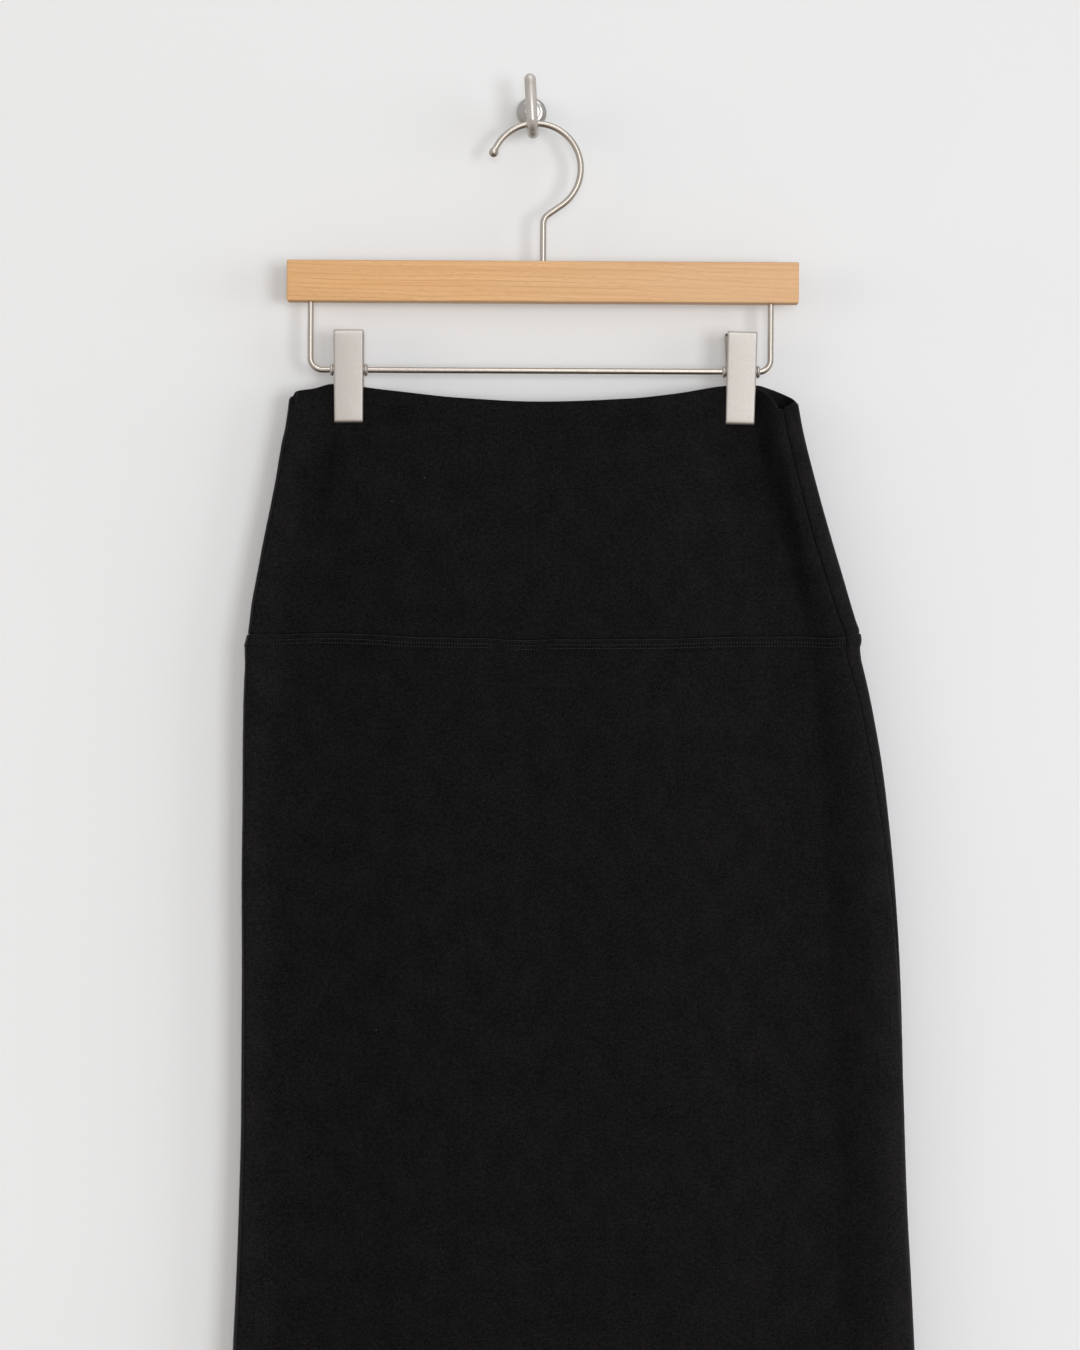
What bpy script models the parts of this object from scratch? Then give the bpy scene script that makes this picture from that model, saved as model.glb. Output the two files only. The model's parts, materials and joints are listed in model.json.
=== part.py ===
"""Midi skirt hung by its high waistband from a clip hanger on a wall hook.

Frame: +Z up, the wall is the plane y = 0 and everything hangs in front of it, at y < 0.
The origin is the centre of the wall hook's flat back. Lengths are metres; the tables
are in millimetres, and MM turns them into metres.
"""
import math

import bmesh
import bpy
import numpy as np
from mathutils import Vector

MM = 0.001
GAP = 0.3 * MM              # clear distance between neighbouring pieces
SIDE_SEAM_GAP = 0.42 * MM   # the panels' ends meet at a slant

# ---------------------------------------------------------------- wall hook
ROSETTE_RADIUS = 10.6 * MM
ROSETTE_DEPTH = 6.0 * MM
WALL_HOOK_RADIUS = 4.0 * MM         # of the rod the hook is bent from
WALL_HOOK_NECK_BEND = 6.0 * MM      # bend from the rosette down to the valley
WALL_HOOK_VALLEY = 9.0 * MM         # radius of the valley, along the rod's centre
WALL_HOOK_TIP_RISE = 26.0 * MM      # front leg, from the valley's end to the tip's centre
WALL_HOOK_TIP_LEAN = math.radians(13.0)
WALL_HOOK_TURN = math.radians(3.0)  # the hook stands slightly askew on the wall

# ---------------------------------------------------------------- hanger
HANG_Y = -22.5 * MM                 # mid-plane of hanger and skirt
CROWN = Vector((3.2 * MM, HANG_Y, -11.45 * MM))   # top of the wire hook's crown
HANGER_TILT = math.radians(0.3)     # right end a little lower

WIRE_RADIUS = 2.2 * MM
WIRE_BALL_RADIUS = 3.3 * MM
WIRE_ARC_RADIUS = 31.5 * MM
WIRE_ARC_START = math.radians(159.5)
WIRE_ARC_END = math.radians(-55.0)
WIRE_STEM_BEND = 8.0 * MM
STEM_X = 5.4 * MM                   # all hanger places below are measured from the crown

BAR_LENGTH = 357.5 * MM
BAR_HEIGHT = 28.5 * MM
BAR_DEPTH = 13.0 * MM
BAR_TOP = -97.0 * MM
BAR_EDGE_ROUND = 0.9 * MM
BAR_BORE_DEPTH = 18.0 * MM

RAIL_RADIUS = 2.1 * MM
RAIL_HALF_SPAN = 161.0 * MM
RAIL_CENTRE_X = 4.0 * MM
RAIL_HEIGHT = -173.2 * MM
RAIL_BEND = 8.5 * MM

# ---------------------------------------------------------------- clips
JAW_SHEET = 1.0 * MM
JAW_EDGE_ROUND = 0.6 * MM
EAR_REACH = 5.0 * MM                # radius of the front jaw's ears around the rod
EAR_OUTER_X = 8.9 * MM
EYELET_INNER = RAIL_RADIUS + 0.5 * MM
EYELET_OUTER = 3.1 * MM
EYELET_FLARE = 4.3 * MM
EYELET_SHOULDER = 11.0 * MM         # flare starts here, outside the back jaw's ears
EYELET_HALF_LENGTH = 13.2 * MM
HOLE_PLAY = 0.8 * MM                # the jaws lean a little on their barrel
SPRING_WIRE_RADIUS = 0.5 * MM
SPRING_TURNS = 4
SPRING_HALF_LENGTH = 3.2 * MM
SPRING_LEG_REACH = 5.0 * MM         # the legs' ends lie just inside the jaws' plates
SPRING_LEG_HEIGHT = 14.0 * MM

# name, place along the rail, lean of the front jaw, lean of the back jaw
CLIPS = (
    ("left", -130.0 * MM, math.radians(-0.3), math.radians(-0.3)),
    ("right", 144.4 * MM, math.radians(1.2), math.radians(-2.3)),
)

# Jaw sections from tip to top: height from the rod, outer face from the mid-plane,
# depth of the side flange, half width.
FRONT_JAW = (
    (-37.4, 3.80, 1.30, 9.7),
    (-36.8, 4.60, 1.80, 10.0),
    (-35.4, 5.25, 2.20, 10.1),
    (0.0, 6.40, 2.40, 10.3),
    (25.6, 7.25, 2.40, 10.4),
    (27.0, 6.65, 2.00, 10.2),
    (27.7, 5.40, 1.50, 9.8),
)
BACK_JAW = (
    (-37.4, 3.80, 1.30, 9.7),
    (-36.8, 4.60, 1.80, 10.0),
    (-35.4, 5.25, 2.20, 10.1),
    (-10.0, 6.05, 2.40, 10.3),
    (-7.5, 6.15, 6.00, 10.4),
    (-4.5, 6.25, 9.50, 10.4),
    (4.5, 6.55, 9.80, 10.4),
    (8.0, 6.65, 6.60, 10.4),
    (25.6, 7.25, 3.60, 10.4),
    (27.0, 6.65, 2.40, 10.2),
    (27.7, 5.40, 1.50, 9.8),
)

# ---------------------------------------------------------------- skirt
YOKE_WALL = 2.0             # the high waistband is cut double, millimetres
SKIRT_WALL = 1.3            # one layer of double knit
HEM_WALL = 2.6              # turned up once
HEM_DEPTH = 25.0
HEM_HEIGHT = -1026.5
FOLD_ROUND = 0.8            # how far the folded top edge rounds over
PRESSED = 2.15              # half depth of the cloth between closed jaws

# Outline, a row for each height: side edges, how far each side seam stands in front
# of its edge, radius of the rolled edges, half depth near the left, middle and right.
OUTLINE_COLUMNS = ("z", "left", "right", "seam_l", "seam_r",
                   "roll_l", "roll_r", "deep_l", "deep_m", "deep_r")
OUTLINE = (
    (-204.0, -169.5, 184.6, 3.0, 9.5, 11.0, 13.0, 3.4, 5.0, 7.0),
    (-220.0, -171.1, 188.0, 1.5, 10.2, 12.0, 14.0, 3.7, 5.2, 7.2),
    (-261.0, -178.6, 197.8, 0.7, 10.4, 15.0, 17.0, 4.6, 6.0, 7.6),
    (-300.0, -185.4, 209.1, 0.7, 12.0, 17.0, 20.0, 5.5, 6.8, 8.0),
    (-337.0, -191.8, 220.3, 0.7, 10.8, 19.0, 22.0, 6.3, 7.5, 8.5),
    (-368.0, -196.1, 228.6, 0.4, 9.4, 20.0, 23.0, 7.0, 8.2, 9.0),
    (-377.0, -199.6, 230.4, 0.3, 9.0, 20.0, 23.0, 7.2, 8.4, 9.2),
    (-400.0, -199.6, 234.1, 0.0, 7.5, 21.0, 23.0, 7.6, 8.8, 9.6),
    (-456.0, -200.2, 244.8, 0.0, 6.4, 22.0, 24.0, 8.5, 9.8, 10.4),
    (-500.0, -201.1, 250.1, 0.0, 4.8, 22.0, 24.0, 9.0, 10.4, 10.8),
    (-570.0, -201.8, 255.3, 0.4, 1.6, 23.0, 24.0, 9.7, 11.1, 11.5),
    (-640.0, -203.2, 259.0, 1.4, 0.0, 23.0, 25.0, 10.3, 11.7, 12.0),
    (-770.0, -205.4, 263.0, 1.8, -0.6, 24.0, 25.0, 11.1, 12.6, 12.7),
    (-870.0, -208.6, 267.7, 1.8, -0.8, 24.0, 26.0, 11.6, 13.2, 13.2),
    (-1026.5, -213.4, 274.5, 1.6, -0.8, 24.0, 26.0, 12.5, 14.0, 13.8),
)

# Folded top edge of the waistband, left to right: place across, front and back height.
TOP_EDGE_COLUMNS = ("x", "front", "back")
TOP_EDGE = (
    (-170.0, -204.2, -204.2),
    (-164.5, -199.6, -202.0),
    (-152.0, -196.8, -199.2),
    (-139.6, -193.8, -196.4),
    (-128.0, -193.6, -195.6),
    (-117.2, -195.9, -196.8),
    (-92.0, -199.2, -199.6),
    (-53.5, -203.5, -203.0),
    (6.0, -206.5, -205.6),
    (68.3, -204.3, -203.8),
    (101.9, -200.7, -200.8),
    (135.5, -195.2, -196.2),
    (146.0, -194.6, -195.2),
    (158.2, -196.2, -195.6),
    (164.7, -202.2, -197.4),
    (171.0, -209.3, -199.8),
    (176.4, -211.6, -202.2),
    (182.4, -208.6, -205.2),
    (187.0, -207.8, -207.8),
)

# Seam between waistband and skirt: place across, height.
YOKE_SEAM_COLUMNS = ("x", "z")
YOKE_SEAM = (
    (-200.0, -368.1),
    (-185.0, -369.2),
    (-100.0, -370.6),
    (-6.0, -372.4),
    (51.0, -372.0),
    (132.0, -370.9),
    (219.0, -370.8),
    (232.0, -368.1),
)

# Soft troughs that run down from the clips, a row for each height: centre, half width
# of the fully pressed strip, reach to the left and right, how far the front and the
# back are pressed in (1 = held flat between the jaws).
TROUGH_COLUMNS = ("z", "x", "flat", "reach_l", "reach_r", "front", "back")
LEFT_TROUGH = (
    (-190.0, -127.6, 13.5, 12.0, 30.0, 1.00, 1.00),
    (-226.0, -127.6, 13.5, 12.0, 30.0, 1.00, 1.00),
    (-262.0, -141.0, 7.0, 14.0, 40.0, 0.70, 0.72),
    (-309.0, -154.0, 4.0, 14.0, 44.0, 0.50, 0.48),
    (-368.0, -163.0, 2.0, 15.0, 46.0, 0.34, 0.30),
    (-520.0, -169.0, 2.0, 16.0, 48.0, 0.24, 0.16),
    (-1026.5, -174.0, 2.0, 18.0, 50.0, 0.12, 0.08),
)
RIGHT_TROUGH = (
    (-190.0, 148.0, 14.0, 30.0, 8.0, 1.00, 1.00),
    (-226.0, 147.5, 14.0, 30.0, 9.0, 1.00, 1.00),
    (-262.0, 158.0, 8.0, 46.0, 13.0, 0.78, 0.66),
    (-309.0, 173.0, 5.0, 56.0, 16.0, 0.58, 0.42),
    (-368.0, 190.0, 3.0, 60.0, 18.0, 0.42, 0.28),
    (-520.0, 205.0, 3.0, 64.0, 24.0, 0.26, 0.16),
    (-1026.5, 214.0, 3.0, 66.0, 28.0, 0.12, 0.08),
)

YOKE_ROWS = (0.0, 0.06, 0.13, 0.22, 0.34, 0.47, 0.60, 0.73, 0.86, 0.95, 1.0)
SKIRT_ROWS = (0.0, 0.012, 0.05, 0.13, 0.22, 0.33, 0.45, 0.58, 0.72, 0.85)
HEM_STEP = 0.006            # the wall thickens over this share of the panel's length
SETTLING_TURNS = 4
QUARTER = 0.5 * math.pi
FLAT_STEPS = 26             # columns across the flat of a panel
ROLL_STEPS = 4              # columns in a quarter of a rolled edge
DEPTH_BLEND = 120.0         # the side depths fade into the middle over this width


# ================================================================ tools
def clear_scene():
    for thing in list(bpy.data.objects):
        bpy.data.objects.remove(thing, do_unlink=True)


def make_material(name, colour, roughness, metallic):
    material = bpy.data.materials.new(name)
    material.use_nodes = True
    shader = material.node_tree.nodes["Principled BSDF"]
    shader.inputs["Base Color"].default_value = (*colour, 1.0)
    shader.inputs["Roughness"].default_value = roughness
    shader.inputs["Metallic"].default_value = metallic
    return material


def place(name, mesh, material, parent=None, smooth=math.radians(35)):
    """Put a mesh in the scene as a named object, its faces pointing outwards."""
    body = bmesh.new()
    body.from_mesh(mesh)
    bmesh.ops.recalc_face_normals(body, faces=body.faces)
    body.to_mesh(mesh)
    body.free()
    mesh.shade_smooth()
    mesh.set_sharp_from_angle(angle=smooth)
    mesh.materials.append(material)
    thing = bpy.data.objects.new(name, mesh)
    bpy.context.scene.collection.objects.link(thing)
    thing.parent = parent
    return thing


def empty(name, location, tilt=0.0, parent=None):
    """A guide that carries other pieces; tilt turns it about Y."""
    guide = bpy.data.objects.new(name, None)
    guide.location = location
    guide.rotation_euler = (0.0, tilt, 0.0)
    guide.parent = parent
    bpy.context.scene.collection.objects.link(guide)
    return guide


def combine(target, tool, operation):
    """Cut a tool out of a target, or join it on; the tool stays as a hidden guide."""
    tool.hide_render = True
    tool.display_type = "WIRE"
    step = target.modifiers.new(tool.name, "BOOLEAN")
    step.operation = operation
    step.solver = "EXACT"
    step.object = tool


def rings_mesh(name, rings):
    """Closed mesh through a stack of rings, with a flat cap at each end."""
    rings = np.asarray(rings, dtype=float)
    count, sides = rings.shape[:2]
    faces = []
    for row in range(count - 1):
        for side in range(sides):
            ahead = (side + 1) % sides
            faces.append((row * sides + side, row * sides + ahead,
                          (row + 1) * sides + ahead, (row + 1) * sides + side))
    faces.append(tuple(range(sides)))
    faces.append(tuple(range((count - 1) * sides, count * sides)))
    mesh = bpy.data.meshes.new(name)
    mesh.from_pydata(rings.reshape(-1, 3).tolist(), [], faces)
    return mesh


def rod_mesh(name, path, radii, sides):
    """Round rod along a path: a ring of its own radius across each point."""
    points = [Vector(point) for point in path]
    ahead = [b - a for a, b in zip(points, points[1:])]
    tangents = [ahead[0]] + [a.normalized() + b.normalized() for a, b in zip(ahead, ahead[1:])]
    tangents.append(ahead[-1])
    tangents = [tangent.normalized() for tangent in tangents]
    across = tangents[0].orthogonal().normalized()
    rings = []
    for point, tangent, radius in zip(points, tangents, radii):
        across = (across - tangent * across.dot(tangent)).normalized()
        other = tangent.cross(across)
        ring = []
        for side in range(sides):
            turn = 2.0 * math.pi * side / sides
            ring.append(point + radius * (math.cos(turn) * across + math.sin(turn) * other))
        rings.append(ring)
    return rings_mesh(name, rings)


def turned_mesh(name, profile, sides):
    """Closed ring turned about X; the profile is a loop of (along, radius)."""
    count = len(profile)
    points = []
    for side in range(sides):
        turn = 2.0 * math.pi * side / sides
        for along, radius in profile:
            points.append((along, radius * math.cos(turn), radius * math.sin(turn)))
    faces = []
    for side in range(sides):
        ahead = (side + 1) % sides
        for step in range(count):
            after = (step + 1) % count
            faces.append((side * count + step, side * count + after,
                          ahead * count + after, ahead * count + step))
    mesh = bpy.data.meshes.new(name)
    mesh.from_pydata(points, [], faces)
    return mesh


def cylinder(name, radius, start, end, parent, sides):
    """Plain cylinder between two points, to cut a hole with."""
    mesh = rod_mesh(name, (start, end), (radius, radius), sides)
    return place(name, mesh, MATERIALS["satin nickel"], parent)


def arc(centre, radius, start, end, steps):
    """Points on an arc in the plane of two coordinates."""
    turns = np.linspace(start, end, steps + 1)
    return [(centre[0] + radius * math.cos(turn), centre[1] + radius * math.sin(turn))
            for turn in turns]


def smooth_curve(at, stations, values):
    """Monotone cubic through the rows of a table, constant beyond its ends."""
    at = np.clip(at, stations[0], stations[-1])
    step = np.diff(stations)
    slope = np.diff(values) / step
    inner = np.where(slope[1:] * slope[:-1] > 0,
                     2.0 * slope[1:] * slope[:-1] / (slope[1:] + slope[:-1] + 1e-30), 0.0)
    tangent = np.concatenate(([slope[0]], inner, [slope[-1]]))
    cell = np.clip(np.searchsorted(stations, at, side="right") - 1, 0, len(step) - 1)
    t = (at - stations[cell]) / step[cell]
    rise = values[cell + 1] - values[cell]
    a = step[cell] * tangent[cell]
    b = step[cell] * tangent[cell + 1]
    return (values[cell] + t * a + t * t * (3 * rise - 2 * a - b)
            + t * t * t * (a + b - 2 * rise))


class Table:
    """Rows of a table as smooth curves over its first column."""

    def __init__(self, columns, rows):
        data = np.array(sorted(rows), dtype=float)
        self.stations = data[:, 0]
        self.values = {name: data[:, index] for index, name in enumerate(columns)}

    def read(self, column, at):
        return smooth_curve(np.asarray(at, dtype=float), self.stations, self.values[column])


# ================================================================ skirt
OUTLINE_TABLE = Table(OUTLINE_COLUMNS, OUTLINE)
TOP_TABLE = Table(TOP_EDGE_COLUMNS, TOP_EDGE)
SEAM_TABLE = Table(YOKE_SEAM_COLUMNS, YOKE_SEAM)
TROUGH_TABLES = (Table(TROUGH_COLUMNS, LEFT_TROUGH), Table(TROUGH_COLUMNS, RIGHT_TROUGH))


def smoothstep(t):
    t = np.clip(t, 0.0, 1.0)
    return t * t * (3.0 - 2.0 * t)


def half_depth(x, z, side):
    """Distance of the outer face from the mid-plane; side is 1 in front, -1 behind."""
    left = OUTLINE_TABLE.read("left", z)
    right = OUTLINE_TABLE.read("right", z)
    middle = OUTLINE_TABLE.read("deep_m", z)
    near_left = 1.0 - smoothstep((x - left) / DEPTH_BLEND)
    near_right = 1.0 - smoothstep((right - x) / DEPTH_BLEND)
    depth = (middle + near_left * (OUTLINE_TABLE.read("deep_l", z) - middle)
             + near_right * (OUTLINE_TABLE.read("deep_r", z) - middle))
    for table in TROUGH_TABLES:
        away = x - table.read("x", z)
        reach = np.where(away < 0, table.read("reach_l", z), table.read("reach_r", z))
        past = np.maximum(np.abs(away) - table.read("flat", z), 0.0)
        press = np.where(side > 0, table.read("front", z), table.read("back", z))
        depth = depth - press * np.exp(-(past / reach) ** 2) * (depth - PRESSED)
    return depth


def seam_turn(side, z):
    """Angle on the rolled edge at which the side seam lies; 0 is the very edge."""
    inset = OUTLINE_TABLE.read("seam_" + side, z)
    roll = OUTLINE_TABLE.read("roll_" + side, z)
    return np.sign(inset) * np.arccos(1.0 - np.abs(inset) / roll)


def wall_points(column, z, wall):
    """Points of one column at heights z, the wall's thickness inside the outer face.

    A column is ("left" or "right", turn) on a rolled edge, a quarter ellipse in front
    and another behind, where turn 0 is the very edge and a quarter turn is where the
    roll meets the flat in front (or behind, where it is negative). On the flat it is
    ("front" or "back", share), from 0 at the left roll to 1 at the right one.
    """
    kind, value = column
    left = OUTLINE_TABLE.read("left", z)
    right = OUTLINE_TABLE.read("right", z)
    roll_l = OUTLINE_TABLE.read("roll_l", z)
    roll_r = OUTLINE_TABLE.read("roll_r", z)
    if kind == "left":
        outer_x = left + roll_l * (1.0 - np.cos(value))
        x = left + wall + (roll_l - wall) * (1.0 - np.cos(value))
    elif kind == "right":
        outer_x = right - roll_r * (1.0 - np.cos(value))
        x = right - wall - (roll_r - wall) * (1.0 - np.cos(value))
    else:
        side = 1 if kind == "front" else -1
        x = (left + roll_l) * (1.0 - value) + (right - roll_r) * value
        return x, side * (half_depth(x, z, side) - wall)
    depth = half_depth(outer_x, z, np.where(value >= 0, 1, -1))
    return x, (depth - wall) * np.sin(value)


def front_columns(z):
    """Columns of a front panel at heights z, from the left seam to the right one."""
    left_turn = seam_turn("l", z)
    right_turn = seam_turn("r", z)
    last = ROLL_STEPS - 1
    columns = [("left", left_turn + (QUARTER - left_turn) * step / ROLL_STEPS)
               for step in range(ROLL_STEPS)]
    columns += [("front", step / FLAT_STEPS) for step in range(FLAT_STEPS + 1)]
    columns += [("right", QUARTER + (right_turn - QUARTER) * step / last)
                for step in range(1, ROLL_STEPS)]
    return columns


def back_columns(z):
    """Columns of a back panel, from the left seam behind and round to the right seam."""
    left_turn = seam_turn("l", z)
    right_turn = seam_turn("r", z)
    last = 2 * ROLL_STEPS
    columns = [("left", left_turn - (QUARTER + left_turn) * step / ROLL_STEPS)
               for step in range(ROLL_STEPS)]
    columns += [("back", step / FLAT_STEPS) for step in range(FLAT_STEPS + 1)]
    columns += [("right", -QUARTER + (right_turn + QUARTER) * step / last)
                for step in range(1, last + 1)]
    return columns


def face_side(column):
    """1 where a column lies in front, -1 where it lies behind."""
    kind, value = column
    in_front = kind == "front" or (kind != "back" and np.mean(value) > 0)
    return 1 if in_front else -1


def panel_grid(make_columns, share_down, upper, lower, wall, drop):
    """Grid of points, rows down and columns across, in millimetres.

    upper and lower give an edge's height for places across and a side; share_down is
    the rows' share of the way between them; drop lowers the first row. A column's
    heights and its places across depend on each other, so they settle in a few turns.
    """
    share_down = np.array(share_down)
    middle_z = upper(0.0, 1) + share_down * (lower(0.0, 1) - upper(0.0, 1))
    grid = []
    for index, column in enumerate(make_columns(middle_z)):
        side = face_side(column)
        z = middle_z
        for _ in range(SETTLING_TURNS):
            outer_x, _ = wall_points(make_columns(z)[index], z, 0.0)
            top = upper(outer_x, side)
            z = top + share_down * (lower(outer_x, side) - top)
        x, forward = wall_points(make_columns(z)[index], z, wall)
        z = z - np.where(share_down == 0.0, drop, 0.0)
        grid.append(np.stack((x, HANG_Y / MM - forward, z), axis=-1))
    return np.stack(grid, axis=1)


def pull_back_ends(grid, reference):
    """Draw the end columns back half a gap along the panel, for the side seams."""
    shift = 0.5 * SIDE_SEAM_GAP / MM
    for end, inner in ((0, 1), (-1, -2)):
        way = reference[:, inner] - reference[:, end]
        way /= np.linalg.norm(way, axis=-1, keepdims=True)
        grid[:, end] += shift * way
    return grid


def panel_mesh(name, outer, inner, crest):
    """Closed wall between an outer and an inner grid, with an optional crest row."""
    rows, columns = outer.shape[:2]
    body = bmesh.new()

    def corners(grid):
        return [[body.verts.new(Vector(point) * MM) for point in line] for line in grid]

    out = corners(outer)
    ins = corners(inner)
    for row in range(rows - 1):
        for step in range(columns - 1):
            body.faces.new((out[row][step], out[row + 1][step],
                            out[row + 1][step + 1], out[row][step + 1]))
            body.faces.new((ins[row][step], ins[row][step + 1],
                            ins[row + 1][step + 1], ins[row + 1][step]))
        for end in (0, -1):
            body.faces.new((out[row][end], out[row + 1][end],
                            ins[row + 1][end], ins[row][end]))
    top_lines = [out[0], ins[0]]
    if crest is not None:
        middle = [body.verts.new(Vector(point) * MM) for point in crest]
        top_lines = [out[0], middle, ins[0]]
        for end in (0, -1):
            body.faces.new((out[0][end], middle[end], ins[0][end]))
    for upper, lower in list(zip(top_lines, top_lines[1:])) + [(out[-1], ins[-1])]:
        for step in range(columns - 1):
            body.faces.new((upper[step], upper[step + 1], lower[step + 1], lower[step]))
    bmesh.ops.recalc_face_normals(body, faces=body.faces)
    bmesh.ops.triangulate(body, faces=body.faces)
    mesh = bpy.data.meshes.new(name)
    body.to_mesh(mesh)
    body.free()
    return mesh


def top_edge(x, side):
    return TOP_TABLE.read("front" if side > 0 else "back", x)


def yoke_lower_edge(x, side):
    return SEAM_TABLE.read("z", x) + 0.5 * GAP / MM


def skirt_upper_edge(x, side):
    return SEAM_TABLE.read("z", x) - 0.5 * GAP / MM


def hem_edge(x, side):
    return np.full_like(np.asarray(x, dtype=float), HEM_HEIGHT)


def build_yoke(name, make_columns):
    """High waistband: a double wall with a rounded fold along its top."""
    outer = panel_grid(make_columns, YOKE_ROWS, top_edge, yoke_lower_edge, 0.0, FOLD_ROUND)
    inner = panel_grid(make_columns, YOKE_ROWS, top_edge, yoke_lower_edge, YOKE_WALL,
                       FOLD_ROUND)
    reference = outer.copy()
    pull_back_ends(outer, reference)
    pull_back_ends(inner, reference)
    crest = 0.5 * (outer[0] + inner[0])
    crest[:, 2] += FOLD_ROUND
    place(name, panel_mesh(name, outer, inner, crest), MATERIALS["black double knit"])


def build_skirt(name, make_columns):
    """Skirt panel: a single wall, doubled inside where the hem is turned up."""
    hem_share = 1.0 - HEM_DEPTH / (skirt_upper_edge(0.0, 1) - HEM_HEIGHT)
    rows = SKIRT_ROWS + (hem_share - HEM_STEP, hem_share, 1.0)
    outer = panel_grid(make_columns, rows, skirt_upper_edge, hem_edge, 0.0, 0.0)
    thin = panel_grid(make_columns, rows, skirt_upper_edge, hem_edge, SKIRT_WALL, 0.0)
    thick = panel_grid(make_columns, rows, skirt_upper_edge, hem_edge, HEM_WALL, 0.0)
    turned_up = np.array(rows)[:, None, None] >= hem_share
    inner = np.where(turned_up, thick, thin)
    reference = outer.copy()
    pull_back_ends(outer, reference)
    pull_back_ends(inner, reference)
    place(name, panel_mesh(name, outer, inner, None), MATERIALS["black double knit"])


# ================================================================ wall hook
def build_wall_hook():
    turned = empty("wall_hook_frame", (0.0, 0.0, 0.0), -WALL_HOOK_TURN)
    r = ROSETTE_RADIUS
    d = ROSETTE_DEPTH
    profile = ((0.0, r), (-0.25 * d, r), (-0.55 * d, 0.95 * r), (-0.8 * d, 0.86 * r),
               (-0.95 * d, 0.72 * r), (-d, 0.55 * r))
    rings = []
    for along, radius in profile:
        ring = [(radius * math.cos(turn), along, radius * math.sin(turn))
                for turn in np.linspace(0.0, 2.0 * math.pi, 32, endpoint=False)]
        rings.append(ring)
    place("wall_rosette", rings_mesh("wall_rosette", rings), MATERIALS["polished chrome"],
          turned)

    valley_z = CROWN.z - WIRE_RADIUS - GAP - WALL_HOOK_RADIUS
    valley_centre = (HANG_Y, valley_z + WALL_HOOK_VALLEY)
    back_leg = HANG_Y + WALL_HOOK_VALLEY
    neck_centre = (back_leg + WALL_HOOK_NECK_BEND, -WALL_HOOK_NECK_BEND)
    route = [(-d - GAP, 0.0)]
    route += arc(neck_centre, WALL_HOOK_NECK_BEND, 0.5 * math.pi, math.pi, 6)
    route += arc(valley_centre, WALL_HOOK_VALLEY, 0.0, -math.pi, 14)
    front_leg = HANG_Y - WALL_HOOK_VALLEY
    lean_radius = WALL_HOOK_TIP_RISE / math.sin(WALL_HOOK_TIP_LEAN)
    lean_centre = (front_leg - lean_radius, valley_centre[1])
    route += arc(lean_centre, lean_radius, 0.0, WALL_HOOK_TIP_LEAN, 5)[1:]
    radii = [WALL_HOOK_RADIUS] * len(route)
    way = Vector(route[-1]) - Vector(route[-2])
    way.normalize()
    tip = Vector(route[-1])
    for share in (0.35, 0.65, 0.86, 0.97):
        route.append(tuple(tip + way * share * WALL_HOOK_RADIUS))
        radii.append(WALL_HOOK_RADIUS * math.sqrt(1.0 - share * share))
    path = [(0.0, y, z) for y, z in route]
    place("wall_hook", rod_mesh("wall_hook", path, radii, 16), MATERIALS["polished chrome"],
          turned)


# ================================================================ hanger
def build_hanger_hook(hanger):
    """Wire hook: ball end, arc over the crown, a slanting run, and the stem."""
    centre = (0.0, -WIRE_ARC_RADIUS)
    ball_angle = WIRE_BALL_RADIUS / WIRE_ARC_RADIUS
    route = []
    radii = []
    for share in (-0.97, -0.8, -0.5, -0.15, 0.25, 0.55):
        turn = WIRE_ARC_START - share * ball_angle
        route.append((centre[0] + WIRE_ARC_RADIUS * math.cos(turn),
                      centre[1] + WIRE_ARC_RADIUS * math.sin(turn)))
        radii.append(WIRE_BALL_RADIUS * math.sqrt(1.0 - share * share))
    neck = math.sqrt(WIRE_BALL_RADIUS ** 2 - WIRE_RADIUS ** 2) / WIRE_ARC_RADIUS
    sweep = arc(centre, WIRE_ARC_RADIUS, WIRE_ARC_START - neck, WIRE_ARC_END, 32)
    route += sweep
    heading = WIRE_ARC_END - 0.5 * math.pi
    down = -0.5 * math.pi
    bend_dx = WIRE_STEM_BEND * (math.sin(down) - math.sin(heading))
    bend_dz = WIRE_STEM_BEND * (math.cos(heading) - math.cos(down))
    run = (STEM_X - bend_dx - sweep[-1][0]) / math.cos(heading)
    bend_start = (sweep[-1][0] + run * math.cos(heading), sweep[-1][1] + run * math.sin(heading))
    bend_centre = (STEM_X + WIRE_STEM_BEND, bend_start[1] + bend_dz)
    route += arc(bend_centre, WIRE_STEM_BEND, heading - 0.5 * math.pi, -math.pi, 6)
    route.append((STEM_X, BAR_TOP - BAR_BORE_DEPTH + GAP))
    radii += [WIRE_RADIUS] * (len(route) - len(radii))
    path = [(x, 0.0, z) for x, z in route]
    place("hanger_hook", rod_mesh("hanger_hook", path, radii, 12), MATERIALS["satin nickel"],
          hanger)


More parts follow.
